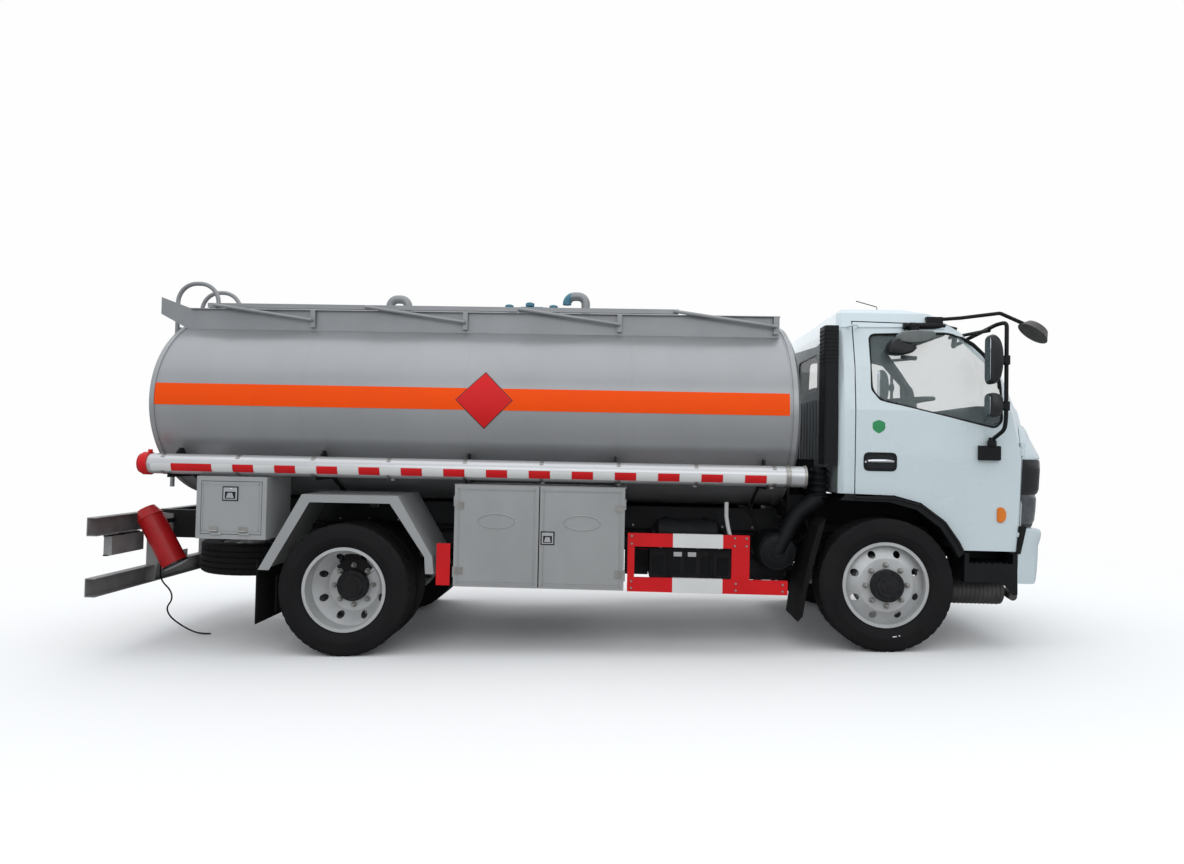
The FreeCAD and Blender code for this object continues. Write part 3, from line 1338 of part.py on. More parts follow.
def knuckle():
    """Steering knuckle: two ears over the beam's eye, the king pin, the spindle and the steering arm."""
    y = -S.kingpin_spread
    ear_gap = S.beam_height / 2 + S.running_gap * 3
    ears = [rod("z", 0, y, axle_z + low, S.knuckle_ear, S.knuckle_width / 2)
            for low in (ear_gap, -ear_gap - S.knuckle_ear)]
    web_outer = y - S.knuckle_width / 2 - S.knuckle_web
    web = block(-S.knuckle_width / 2, S.knuckle_width / 2, web_outer, y - S.knuckle_width / 2 - S.running_gap * 3,
                axle_z - ear_gap - S.knuckle_ear, axle_z + ear_gap + S.knuckle_ear)
    bridges = [block(-S.knuckle_width / 2, S.knuckle_width / 2, web_outer, y, axle_z + low,
                     axle_z + low + S.knuckle_ear) for low in (ear_gap, -ear_gap - S.knuckle_ear)]
    pin = rod("z", 0, y, axle_z - ear_gap - S.knuckle_ear, (ear_gap + S.knuckle_ear) * 2, S.kingpin_radius)
    spindle = rod("y", 0, front_disc_y + S.disc_thickness + S.running_gap, axle_z,
                  web_outer - front_disc_y - S.disc_thickness, S.hub_bore_radius)
    arm = block(-S.steering_arm, 0, y, y + S.knuckle_width / 2, axle_z - ear_gap - S.knuckle_ear,
                axle_z - ear_gap - S.knuckle_ear * 0.2)
    return joined(*ears, web, *bridges, pin, spindle, arm)


knuckle_right = knuckle()
node("knuckle_right", False, knuckle_right)
node("knuckle_left", False, mirrored(knuckle_right))


def leaf_spring(x, y, low):
    """A stack of leaves that shorten downward, carried at both ends by hangers from the rail."""
    leaves = []
    for index in range(int(S.spring_leaves.value)):
        half = S.spring_half_length * (short_leaf_share + (1 - short_leaf_share) * index
                                       / (S.spring_leaves.value - 1))
        leaves.append(block(x - half, x + half, y - S.spring_width / 2, y + S.spring_width / 2,
                            low + S.spring_leaf * index, low + S.spring_leaf * (index + 1)))
    return leaves


def spring_set(x, y, axle_height, seat_radius, hanger_face):
    low = axle_height + seat_radius
    leaves = leaf_spring(x, y, low)
    top = low + S.spring_leaf * S.spring_leaves
    shackles = [
        block(x + S.spring_half_length * side - S.spring_width / 2,
              x + S.spring_half_length * side + S.spring_width / 2, y - S.spring_width / 2, hanger_face,
              top - S.spring_leaf, S.rail_top - S.rail_height + S.guard_section)
        for side in (-1, 1)]
    saddle = block(x - S.spring_width, x + S.spring_width, y - S.spring_width * 0.6, y + S.spring_width * 0.6,
                   low - S.spring_leaf, top + S.spring_leaf)
    return joined(*leaves, *shackles, saddle)


rear_axle_height = S.tyre_radius - S.wheelbase * sine(S.rake_angle)
front_spring = spring_set(as_size(0), -S.spring_spread, S.tyre_radius,
                          S.beam_height / 2 - S.beam_drop + S.spring_leaf + S.seat_gap * 5,
                          -S.rail_half_spread + S.rail_thickness - S.pivot_width - S.seat_gap)
rear_spring = spring_set(-S.wheelbase * cosine(S.rake_angle), -S.rear_spring_spread, rear_axle_height,
                         S.axle_tube_radius + S.spring_leaf + S.seat_gap, -S.rail_half_spread - S.seat_gap)
node("leaf_springs", True, front_spring, mirrored(front_spring), rear_spring, mirrored(rear_spring))

# Engine, gearbox and propeller shaft between the rails
engine_rear = S.engine_front - S.engine_length
engine = block(engine_rear, S.engine_front, -S.engine_half_width, S.engine_half_width, S.engine_bottom,
               S.engine_top)
sump = block(engine_rear + S.engine_length * 0.3, S.engine_front - S.engine_length * 0.1,
             -S.engine_half_width * 0.6, S.engine_half_width * 0.6, S.engine_bottom - S.gearbox_radius * 0.6,
             S.engine_bottom)
node("engine_block", True, joined(engine, sump))
gearbox = rod("x", engine_rear - S.gearbox_length - S.seat_gap, 0, S.shaft_height, S.gearbox_length,
              S.gearbox_radius)
shaft_end = -S.wheelbase + S.diff_radius * 2.1
prop_shaft = bent_tube([(engine_rear - S.gearbox_length, 0, S.shaft_height),
                        (shaft_end, 0, rear_axle_height + S.shaft_radius)], S.shaft_radius, S.shaft_radius)
node("gearbox_and_shaft", True, joined(gearbox, prop_shaft))
silencer = rod("x", S.silencer_rear, -S.silencer_spread, S.silencer_height,
               S.silencer_front - S.silencer_rear, S.silencer_radius)
silencer_stay_x = S.silencer_rear + S.silencer_radius * 2
silencer_stay = block(silencer_stay_x, silencer_stay_x + S.guard_section, -S.silencer_spread,
                      -S.rail_half_spread + S.rail_thickness - S.pivot_width - S.seat_gap,
                      S.rail_top - S.rail_height + S.guard_section, S.rail_top - S.rail_height
                      + S.guard_section * 2)
silencer_strap = block(silencer_stay_x, silencer_stay_x + S.guard_section,
                       -S.silencer_spread - S.guard_section / 2, -S.silencer_spread + S.guard_section / 2,
                       S.silencer_height, S.rail_top - S.rail_height + S.guard_section * 2)
node("silencer", True, joined(silencer, silencer_stay, silencer_strap))

# Front bumper on the frame ends and the entry steps beside it
def bumper_outline(inset):
    """Half plan outline of the bumper mirrored about the middle."""
    half = S.cab_side
    rear = S.bumper_rear
    front = S.bumper_front - inset
    side = half - inset
    right = [(rear, -side), (front - S.bumper_sheet * 2, -side), (front, -side * 0.86),
             (front + S.bumper_bulge, -side * 0.4)]
    return right + [(x, -y) for x, y in right[::-1]]


bumper_nose = S.bumper_front + S.bumper_bulge
bumper = cut(prism("plan", bumper_outline(as_size(0)), S.bumper_bottom, S.bumper_top),
             prism("plan", [(x - (S.cut_overrun if x.value < S.bumper_rear.value + 1 else 0), y)
                            for x, y in bumper_outline(S.bumper_sheet)],
                   S.bumper_bottom - S.cut_overrun, S.bumper_top + S.cut_overrun),
             prism("side", [(bumper_nose - S.bumper_notch, S.bumper_top),
                            (bumper_nose + S.cut_overrun, S.bumper_top - S.bumper_notch - S.cut_overrun),
                            (bumper_nose + S.cut_overrun, S.bumper_top + S.cut_overrun),
                            (bumper_nose - S.bumper_notch, S.bumper_top + S.cut_overrun)],
                   -S.cab_side, S.cab_side))
step_outer = -S.cab_side
step_body = block(S.step_rear, S.bumper_rear - S.seat_gap, step_outer, step_outer + S.step_depth, S.step_bottom,
                  S.step_top)
step_room = block(S.step_rear + S.guard_section, S.bumper_rear - S.guard_section, step_outer - S.cut_overrun,
                  step_outer + S.step_depth - S.box_wall, S.step_ledge, S.step_top + S.cut_overrun)
step_skirt = prism("side", [(S.step_rear + S.step_depth, S.step_bottom), (S.bumper_rear - S.seat_gap, S.step_bottom),
                            (S.bumper_rear - S.seat_gap, S.skirt_tip), (S.bumper_rear - S.guard_section, S.skirt_tip)],
                   step_outer, step_outer + S.box_wall * 2)
step_arm = block(S.bumper_rear - S.guard_section * 3, S.bumper_rear - S.guard_section * 2,
                 step_outer + S.step_depth - S.box_wall,
                 -S.rail_half_spread + S.rail_thickness - S.pivot_width - S.seat_gap,
                 S.rail_top - S.rail_height + S.guard_section, S.step_top - S.guard_section)
step_right = joined(cut(step_body, step_room), step_skirt, step_arm)
node("bumper_and_steps", True, bumper, step_right, mirrored(step_right))

# Cab body: level sections lofted from the sill to the roof
def cab_section(station, wall):
    """One level outline of the cab, moved in by a wall."""
    height, width, side_end, corner, nose, back = station
    z = S.cab_base + wall + (S.cab_top - S.cab_base - wall * 2) * height
    half = S.cab_side * width - wall
    rear = -S.cab_back * back + wall
    right = [(rear, -half + S.cab_corner), (rear + S.cab_corner, -half), (S.cab_nose * side_end - wall, -half),
             (S.cab_nose * corner - wall, -half * corner_place_share),
             (S.cab_nose * nose - wall, -half * nose_place_share)]
    sketch = doc.addObject("Sketcher::SketchObject", "Section")
    corners = right + [(x, -y) for x, y in right[::-1]]
    spots = [FreeCAD.Vector(x.value, y.value, 0) for x, y in corners]
    for index, spot in enumerate(spots):
        sketch.addGeometry(Part.LineSegment(spot, spots[(index + 1) % len(spots)]))
    for index in range(len(spots)):
        sketch.addConstraint(Sketcher.Constraint("Coincident", index, 2, (index + 1) % len(spots), 1))
    for index, (x, y) in enumerate(corners):
        bound_point(sketch, index, index, 1, x, y)
    return place(sketch, 0, 0, z)


def cab_form(wall):
    """The cab's closed outer form, moved in by a wall."""
    form = doc.addObject("Part::Loft", "CabForm")
    form.Sections = [cab_section(station, as_size(wall)) for station in cab_station_shares]
    form.Solid = True
    form.Ruled = True
    return form


# Height, half width, end of the flat side, front corner, nose and back wall at each level
cab_station_shares = [
    (0, 0.992, 0.815, 0.932, 0.982, 1), (0.3755, 1, 0.842, 0.95, 1, 1), (0.5647, 1, 0.778, 0.874, 0.937, 1),
    (0.7447, 0.965, 0.688, 0.767, 0.833, 1), (0.913, 0.887, 0.4525, 0.529, 0.602, 1),
    (0.977, 0.845, 0.2986, 0.389, 0.47, 0.96), (1, 0.765, 0.163, 0.235, 0.2986, 0.8)]
corner_place_share = 0.87
nose_place_share = 0.42
# Wheel arch under the cab, along and up as shares of the tyre's radius, from the back wall forward
arch_shares = [(-0.606, 2.366), (0.125, 2.351), (0.526, 2.246), (0.871, 1.994), (1.071, 1.711), (1.159, 1.545)]


def arch_line(shift):
    return [(S.tyre_radius * along + shift, S.tyre_radius * up + shift) for along, up in arch_shares]


def under_cab(shift):
    """What is open below the cab: both wheel arches, the engine tunnel and the room over the bumper."""
    low = S.cab_base - S.cut_overrun
    wide = S.cab_side + S.cut_overrun
    first = S.tyre_radius * arch_shares[0][1] + shift
    arch = prism("side", [(-S.cab_back - S.cut_overrun, low), (-S.cab_back - S.cut_overrun, first)]
                 + arch_line(shift) + [(S.tyre_radius * arch_shares[-1][0] + shift, low)], -wide, wide)
    tunnel = block(-S.cab_back - S.cut_overrun, S.lamp_band_rear - S.cab_wall * 2 + shift, -S.tunnel_half_width
                   - shift, S.tunnel_half_width + shift, low, S.floor_line + shift)
    front = block(S.front_edge_place - shift, S.cab_nose + S.cut_overrun, -wide, wide, low,
                  S.front_edge_height + shift)
    return joined(arch, tunnel, front)


outer_body = cut(cab_form(0), under_cab(as_size(0)))
inner_body = cut(cab_form(S.cab_wall), under_cab(S.cab_wall))
cab_walls = cut(outer_body, inner_body)

# Side door outline, shares of the cab's nose reach and roof height, from the roof line forward and down
pillar_shares = [(0.402, 0.9488), (0.522, 0.9385), (0.769, 0.8078), (0.818, 0.7365), (0.84, 0.671),
                 (0.8434, 0.5611)]


def door_corners(gap):
    """The door's side outline, grown by a gap all round."""
    rear = -S.door_rear - gap
    foot = [(S.tyre_radius * along - gap * 0.5, S.tyre_radius * up - gap) for along, up in arch_shares[1:]]
    front = [(S.cab_nose * along + gap, S.cab_top * up + gap * 0.5) for along, up in pillar_shares[1:]]
    return ([(rear, S.tyre_radius * arch_shares[0][1] - gap - S.door_clearance)] + foot
            + [(S.tyre_radius * arch_shares[-1][0] - gap * 0.5, S.cab_base - S.cut_overrun),
               (S.door_front + gap, S.cab_base - S.cut_overrun)]
            + front[::-1]
            + [(S.cab_nose * pillar_shares[0][0], S.cab_top * pillar_shares[0][1] + gap),
               (rear, S.door_top + gap)])


def door_zone(gap):
    """The part of the cab's wall that the right door takes."""
    face = prism("side", door_corners(gap), -S.cab_side - S.cut_overrun, -S.cab_side * 0.7)
    inner = -S.cab_side + S.door_depth + gap
    slab = prism("front", [(-S.cab_side - S.cut_overrun, S.cab_base - S.cut_overrun),
                           (inner, S.cab_base - S.cut_overrun), (inner, S.cab_top * door_knee_share),
                           (inner + S.door_lean, S.cab_top), (-S.cab_side - S.cut_overrun, S.cab_top)],
                 -S.cab_back, S.cab_nose)
    return common(face, slab)


door_knee_share = 0.74
hinge_third_share = 1 / 3
hinge_heights_shares = [0.324, 0.568]
door_hinge_x = S.door_front + S.door_clearance / 2
door_hinge_y = -S.cab_side + S.door_hinge_radius / 2
door_hinges = [hinge("z", door_hinge_x, door_hinge_y, S.cab_top * share, S.door_hinge_length,
                     S.door_hinge_radius) for share in hinge_heights_shares]
fixed_leaves = [
    block(door_hinge_x, door_hinge_x + S.door_hinge_radius * 2, door_hinge_y - S.door_hinge_radius / 2,
          door_hinge_y + S.door_hinge_radius * 4, S.cab_top * share + S.door_hinge_length * start,
          S.cab_top * share + S.door_hinge_length * (start + hinge_third_share))
    for share in hinge_heights_shares for start in (0, 1 - hinge_third_share)]
moving_leaves = [
    block(door_hinge_x - S.door_hinge_radius * 3, door_hinge_x, door_hinge_y - S.door_hinge_radius / 2,
          door_hinge_y + S.door_hinge_radius * 2.2, S.cab_top * share + S.door_hinge_length * hinge_third_share
          + S.running_gap, S.cab_top * share + S.door_hinge_length * (1 - hinge_third_share) - S.running_gap)
    for share in hinge_heights_shares]
door_pin_bores = [
    rod("z", door_hinge_x, door_hinge_y, S.cab_top * share, S.door_hinge_length,
        S.door_hinge_radius * hinge_pin_share + S.running_gap) for share in hinge_heights_shares]
door_space = door_zone(as_size(0))
door_blank = common(cab_walls, door_space)
opening_right = door_zone(S.door_clearance)
opening_left = mirrored(opening_right)


# Windows: the side glass, the windscreen and the rear pane, cut square through the wall
def side_window(grow):
    corners = [(S.cab_nose * along, S.cab_top * up) for along, up in side_window_shares]
    return prism("side", corners, -S.cab_side - S.cut_overrun, -S.cab_side * 0.7,
                 [(S.window_corner, range(len(corners)))])


side_window_shares = [(-0.1, 0.918), (-0.1, 0.7513), (-0.045, 0.7205), (0.683, 0.6447), (0.724, 0.664),
                      (0.722, 0.78), (0.68, 0.8566), (0.583, 0.9029), (0.403, 0.9254)]
windscreen_shares = [(0.9, 0.7), (0.845, 0.835), (0.742, 0.948), (-0.742, 0.948), (-0.845, 0.835), (-0.9, 0.7)]
rear_window_shares = [(0.33, 0.765), (0.33, 0.885), (-0.33, 0.885), (-0.33, 0.765)]


def end_window(shares, x_low, x_high):
    corners = [(S.cab_side * across, S.cab_top * up) for across, up in shares]
    return prism("front", corners, x_low, x_high, [(S.window_corner, range(len(corners)))])


window_right = side_window(0)
windscreen_room = end_window(windscreen_shares, S.cab_nose * 0.3, S.cab_nose + S.cut_overrun)
rear_room = end_window(rear_window_shares, -S.cab_back - S.cut_overrun, -S.cab_back + S.cab_wall * 2)
glass_layer = cut(cab_form(S.glass_inset), cab_form(S.glass_inset + S.glass_thickness))

# The lamps and the grille fill a band round the front above the bumper
lamp_band = block(S.lamp_band_rear, S.cab_nose + S.cut_overrun, -S.cab_side - S.cut_overrun,
                  S.cab_side + S.cut_overrun, S.front_edge_height + S.lamp_foot, S.lamp_band_top)
band_layer = cut(cab_form(0), cab_form(S.lamp_shell))
band_gap = S.seat_gap
band = common(band_layer, block(S.lamp_band_rear + band_gap, S.cab_nose + S.cut_overrun,
                                -S.cab_side - S.cut_overrun, S.cab_side + S.cut_overrun,
                                S.front_edge_height + S.lamp_foot + band_gap, S.lamp_band_top - band_gap))
lamp_split = block(0, S.cab_nose + S.cut_overrun, -S.grille_half_width, S.grille_half_width, S.cab_base,
                   S.cab_top)
grille_zone = block(0, S.cab_nose + S.cut_overrun, -S.grille_half_width + band_gap,
                    S.grille_half_width - band_gap, S.cab_base, S.cab_top)
headlamps = cut(band, lamp_split)
slats_open = [
    block(0, S.cab_nose + S.cut_overrun, -S.grille_half_width + S.grille_frame,
          S.grille_half_width - S.grille_frame,
          S.front_edge_height + S.lamp_foot + S.grille_frame + S.slat_pitch * index,
          S.front_edge_height + S.lamp_foot + S.grille_frame + S.slat_pitch * (index + 1) - S.grille_slat)
    for index in range(slat_count)]
grille = cut(common(band, grille_zone), *slats_open)
node("grille_and_lamps", True, headlamps, grille)

cab_opened = cut(cab_walls, opening_right, opening_left, windscreen_room, rear_room, lamp_band)
hinge_fixed = [half[0] for half in door_hinges]
hinge_rooms = [half[2] for half in door_hinges]
cab_hinged = cut(cab_opened, *hinge_rooms, *[mirrored(room) for room in hinge_rooms])

# Pivot brackets under the cab, over the pins on the frame
def cab_pivot_bracket():
    y_low = S.tunnel_half_width - S.pivot_width * 2
    plate = prism("side", [(S.cab_pivot_x - S.pivot_radius, S.cab_pivot_z - S.pivot_radius),
                           (S.cab_pivot_x + S.pivot_radius, S.cab_pivot_z - S.pivot_radius),
                           (S.cab_pivot_x + S.pivot_radius, S.front_edge_height + S.cab_wall / 2),
                           (S.cab_pivot_x - S.pivot_radius * 2, S.front_edge_height + S.cab_wall / 2)],
                  y_low, y_low + S.pivot_width)
    bore = rod("y", S.cab_pivot_x, y_low - S.cut_overrun, S.cab_pivot_z, S.pivot_width + S.cut_overrun * 2,
               S.pivot_radius * hinge_pin_share + S.running_gap)
    return cut(plate, bore)


pivot_left = cab_pivot_bracket()
hinge_fixed_right = joined(*hinge_fixed, *fixed_leaves)
node("cab_shell", True, joined(cab_hinged, hinge_fixed_right, mirrored(hinge_fixed_right),
                               pivot_left, mirrored(pivot_left)))
windscreen = cut(common(glass_layer, windscreen_room), opening_right, opening_left)
node("cab_glass", True, windscreen, common(glass_layer, rear_room))

door_rooms = [room for half in door_hinges for room in half[3]]
door_right = joined(cut(joined(cut(door_blank, window_right, *door_rooms), *moving_leaves), *door_pin_bores),
                    *[half[1] for half in door_hinges])
glass_right = common(common(glass_layer, window_right), door_space)
node("door_right", True, door_right)
node("door_left", True, mirrored(door_right))
node("door_glass_right", True, glass_right)
node("door_glass_left", True, mirrored(glass_right))


# Mirrors on a tube bracket from each door
def mirror_set():
    y = -S.mirror_stand_off
    tube = bent_tube([
        (S.mirror_foot_x, -S.cab_side, S.mirror_foot_z), (S.mirror_foot_x + S.mirror_tube * 3, y, S.mirror_foot_z
                                                      + S.mirror_tube * 3),
        (S.mirror_post_x, y, S.mirror_foot_z + S.mirror_tube * 9),
        (S.mirror_post_x, y, S.mirror_top_z),
        (S.mirror_root_x, -S.cab_side * mirror_root_share, S.mirror_top_z - S.mirror_tube * 5)],
        S.mirror_tube, S.mirror_tube * 2.2)
    foot = block(S.mirror_foot_x - S.mirror_thickness, S.mirror_foot_x + S.mirror_thickness, -S.cab_side
                 - S.mirror_tube * 2, -S.cab_side, S.mirror_foot_z - S.mirror_thickness * 0.9,
                 S.mirror_foot_z + S.mirror_thickness * 0.6)
    heads = []
    for x_low, x_high, z_low, z_high in (
            (S.mirror_head_rear, S.mirror_head_front, S.upper_mirror_low, S.upper_mirror_high),
            (S.mirror_head_rear, S.mirror_head_front, S.lower_mirror_low, S.lower_mirror_high)):
        heads.append(prism("side", [(x_low, z_low), (x_high, z_low), (x_high, z_high), (x_low, z_high)],
                           y - S.mirror_thickness, y + S.mirror_thickness,
                           [(S.window_corner, (0, 1, 2, 3))]))
    clamps = [rod("x", S.mirror_head_front - S.mirror_tube, y, height, S.mirror_post_x - S.mirror_head_front
                  + S.mirror_tube, S.mirror_tube)
              for height in ((S.upper_mirror_low + S.upper_mirror_high) / 2,
                             (S.lower_mirror_low + S.lower_mirror_high) / 2)]
    return cut(joined(tube, foot, *heads, *clamps), cab_form(-S.seat_gap))


mirror_right = mirror_set()
node("mirror_right", True, mirror_right)
node("mirror_left", True, mirrored(mirror_right))


# Front-view mirror on the roof's right corner
def front_mirror():
    points = [(S.cab_nose * along, -S.cab_side * across, S.cab_top * up) for along, across, up in front_arm_shares]
    arm = bent_tube(points, S.front_mirror_tube, S.front_mirror_tube * 3)
    shell = turned("z", [(0, 0), (0, S.front_head_radius),
                         (S.front_head_radius * head_rise_share, S.front_head_radius * head_waist_share),
                         (S.front_head_radius * head_waist_share, 0)],
                   S.front_head_x, -S.cab_side * front_arm_shares[-1][1], S.front_head_z)
    shell.Placement.Rotation = FreeCAD.Rotation(FreeCAD.Vector(0, 1, 0), 1)
    bind(shell, "Placement.Rotation.Angle", S.front_head_turn)
    foot = block(S.cab_nose * front_arm_shares[0][0] - S.mirror_thickness, S.cab_nose * front_arm_shares[0][0]
                 + S.mirror_thickness, -S.cab_side * front_arm_shares[0][1] - S.mirror_thickness * 0.6,
                 -S.cab_side * front_arm_shares[0][1] + S.mirror_thickness * 0.6,
                 S.cab_top * front_arm_shares[0][2] - S.mirror_thickness,
                 S.cab_top * front_arm_shares[0][2] + S.mirror_thickness * 0.3)
    return cut(joined(arm, foot, shell), cab_form(-S.seat_gap))


front_arm_shares = [(0.33, 0.86, 0.965), (0.49, 0.9, 0.969), (0.71, 0.98, 0.979), (0.865, 1.0, 0.945)]
node("front_mirror", True, front_mirror())

# Air intake stack behind the cab's right corner
stack = prism("plan", [(-S.stack_rear, -S.stack_outer), (-S.stack_front, -S.stack_outer),
                       (-S.stack_front, -S.stack_inner), (-S.stack_rear, -S.stack_inner)],
              S.stack_bottom, S.stack_top, [(S.cab_corner / 2, (0, 1, 2, 3))])
stack_feet = [
    block(-S.stack_front - S.cab_wall, -S.cab_back + S.cab_wall * 0.5, -S.stack_inner - S.guard_section * 2,
          -S.stack_inner - S.guard_section, S.stack_top * share, S.stack_top * share + S.guard_section)
    for share in stack_foot_shares]
intake = cut(joined(stack, *stack_feet), cab_form(-S.seat_gap))
node("intake_stack", True, intake)


# Black trim over the wheel arch
def arch_flare():
    flare_high = arch_line(as_size(0))
    flare_low = arch_line(-S.flare_width)
    corners = flare_high + flare_low[::-1]
    return prism("side", corners, -S.cab_side - S.flare_proud, -S.cab_side + S.flare_depth)


flare_right = cut(arch_flare(), outer_body, opening_right)
node("wheel_flares", True, flare_right, mirrored(flare_right))

# Inside the cab: seats, instrument panel, column and steering wheel
floor_z = S.floor_line + S.cab_wall
seats = []
for y in (-S.seat_spread, S.seat_spread):
    seats.append(block(S.seat_front - S.seat_depth, S.seat_front, y - S.seat_width / 2, y + S.seat_width / 2,
                       floor_z, S.seat_base_height))
    seats.append(prism("side", [(S.seat_front - S.seat_depth, S.seat_base_height),
                                (S.seat_front - S.seat_depth + S.seat_thickness, S.seat_base_height),
                                (S.seat_front - S.seat_depth + S.seat_thickness * 0.4, S.seat_base_height
                                 + S.seat_back_height),
                                (S.seat_front - S.seat_depth - S.seat_thickness * 0.4, S.seat_base_height
                                 + S.seat_back_height)],
                       y - S.seat_width / 2, y + S.seat_width / 2))
bench = [joined(seats[0], seats[1]), joined(seats[2], seats[3])]
dash_reach = S.cab_nose * 0.86
dash = prism("side", [(dash_reach - S.dash_depth, S.dash_height - S.dash_depth * 0.9),
                      (dash_reach, S.dash_height - S.dash_depth * 1.4), (dash_reach, S.dash_height - S.dash_depth * 0.3),
                      (dash_reach - S.dash_depth * 0.3, S.dash_height), (dash_reach - S.dash_depth, S.dash_height
                                                                         - S.dash_depth * 0.2)],
             -S.cab_side * 0.86, S.cab_side * 0.86)
dash_leg = block(dash_reach - S.dash_depth * 0.7, dash_reach - S.dash_depth * 0.3, -S.seat_width / 2,
                 S.seat_width / 2, floor_z, S.dash_height - S.dash_depth)
ring = turned("z", [(-S.wheel_ring_tube, S.wheel_ring_radius - S.wheel_ring_tube),
                    (-S.wheel_ring_tube, S.wheel_ring_radius + S.wheel_ring_tube),
                    (S.wheel_ring_tube, S.wheel_ring_radius + S.wheel_ring_tube),
                    (S.wheel_ring_tube, S.wheel_ring_radius - S.wheel_ring_tube)],
              dash_reach - S.dash_depth * 1.5, S.seat_spread, S.dash_height - S.dash_depth * 0.1)
ring_hub = rod("z", dash_reach - S.dash_depth * 1.5, S.seat_spread, S.dash_height - S.dash_depth * 0.1
               - S.wheel_ring_tube, S.wheel_ring_tube * 2, S.column_radius * 2)
spokes = [block(dash_reach - S.dash_depth * 1.5 - S.column_radius / 2, dash_reach - S.dash_depth * 1.5
                + S.column_radius / 2, S.seat_spread - S.wheel_ring_radius, S.seat_spread + S.wheel_ring_radius,
                S.dash_height - S.dash_depth * 0.1 - S.wheel_ring_tube / 2, S.dash_height - S.dash_depth * 0.1
                + S.wheel_ring_tube / 2)]
column = bent_tube([(dash_reach - S.dash_depth * 1.5, S.seat_spread, S.dash_height - S.dash_depth * 0.1),
                    (dash_reach - S.dash_depth * 0.5, S.seat_spread, S.dash_height - S.dash_depth * 0.6)],
                   S.column_radius, S.column_radius)
node("cab_interior", True, *bench, joined(dash, dash_leg, ring, ring_hub, *spokes, column))

# Antistatic strap: a limp cord from its tab down to the ground, from the front axle, level with the ground
strap_route = [(-5475, -475, 646.8), (-5481, -475, 545), (-5480, -472, 440), (-5400, -466, 360),
               (-5392, -460, 285), (-5445, -455, 222), (-5420, -446, 150), (-5350, -436, 90),
               (-5270, -424, 38), (-5190, -415, 7), (-5110, -408, 7)]
arc_reach_share = 0.45


def cord_path(route):
    """Straight runs joined by tangent arcs as large as the two runs allow."""
    spots = [FreeCAD.Vector(*point) for point in route]
    edges = []
    start = spots[0]
    for before, corner, after in zip(spots, spots[1:], spots[2:]):
        arrive = (corner - before).normalize()
        leave = (after - corner).normalize()
        half_turn = arrive.getAngle(leave) / 2
        reach = arc_reach_share * min((corner - before).Length, (after - corner).Length)
        radius = reach / math.tan(half_turn)
        print("strap arc radius", round(radius, 1))
        first = corner - arrive * reach
        last = corner + leave * reach
        middle = corner + (leave - arrive).normalize() * (radius / math.cos(half_turn) - radius)
        edges.append(Part.LineSegment(start, first).toShape())
        edges.append(Part.Arc(first, middle, last).toShape())
        start = last
    edges.append(Part.LineSegment(start, spots[-1]).toShape())
    return Part.Wire(edges)


strap_wire = cord_path(strap_route)
strap_start = FreeCAD.Vector(*strap_route[0])
strap_ring = Part.Wire([Part.makeCircle(S.strap_radius.value, strap_start,
                                        FreeCAD.Vector(*strap_route[1]) - strap_start)])
strap = doc.addObject("Part::Feature", "Strap")
strap.Shape = strap_wire.makePipeShell([strap_ring], True, False)
print("strap volume over section times length",
      round(strap.Shape.Volume / (math.pi * S.strap_radius.value ** 2 * strap_wire.Length), 4))
node("earth_strap", False, strap)

doc.recompute()
bad = [item.Name for item in doc.Objects if {"Invalid", "Error"} & set(item.State)]
if bad:
    raise RuntimeError(f"failed objects: {bad}")
os.makedirs("parts", exist_ok=True)
for item in nodes:
    if item.Shape.isNull() or not item.Shape.isValid():
        raise RuntimeError(f"{item.Label} has no valid shape")
    item.Shape.exportStep(f"parts/{item.Label}.step")
    box = item.Shape.BoundBox
    print(f"{item.Label}: solids {len(item.Shape.Solids)}, x {box.XMin:.0f}..{box.XMax:.0f}, "
          f"y {box.YMin:.0f}..{box.YMax:.0f}, z {box.ZMin:.0f}..{box.ZMax:.0f}")
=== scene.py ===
"""Tanker truck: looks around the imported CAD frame.

Pieces are drawn in millimetres in the chassis frame of the part: x from the front axle towards the nose,
y to the truck's left, z from the ground. The sprung body leans nose down by RAKE on level wheels.
"""
import math

import bmesh
import bpy
from mathutils import Matrix, Vector
from mathutils.bvhtree import BVHTree


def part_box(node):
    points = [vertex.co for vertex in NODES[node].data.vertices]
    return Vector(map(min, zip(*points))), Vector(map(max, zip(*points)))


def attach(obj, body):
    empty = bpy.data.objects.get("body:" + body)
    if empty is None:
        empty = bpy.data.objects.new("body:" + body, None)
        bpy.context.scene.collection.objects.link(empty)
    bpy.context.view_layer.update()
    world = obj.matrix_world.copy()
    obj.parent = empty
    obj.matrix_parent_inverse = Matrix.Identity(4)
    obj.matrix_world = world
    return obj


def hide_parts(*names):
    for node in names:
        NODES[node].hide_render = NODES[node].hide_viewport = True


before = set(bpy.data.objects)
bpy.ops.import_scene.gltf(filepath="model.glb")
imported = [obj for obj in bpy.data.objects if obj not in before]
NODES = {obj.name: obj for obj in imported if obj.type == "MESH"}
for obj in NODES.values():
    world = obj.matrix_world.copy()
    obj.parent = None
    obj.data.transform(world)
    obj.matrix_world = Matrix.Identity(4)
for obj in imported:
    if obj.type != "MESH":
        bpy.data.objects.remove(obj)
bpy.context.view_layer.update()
MM = 0.001

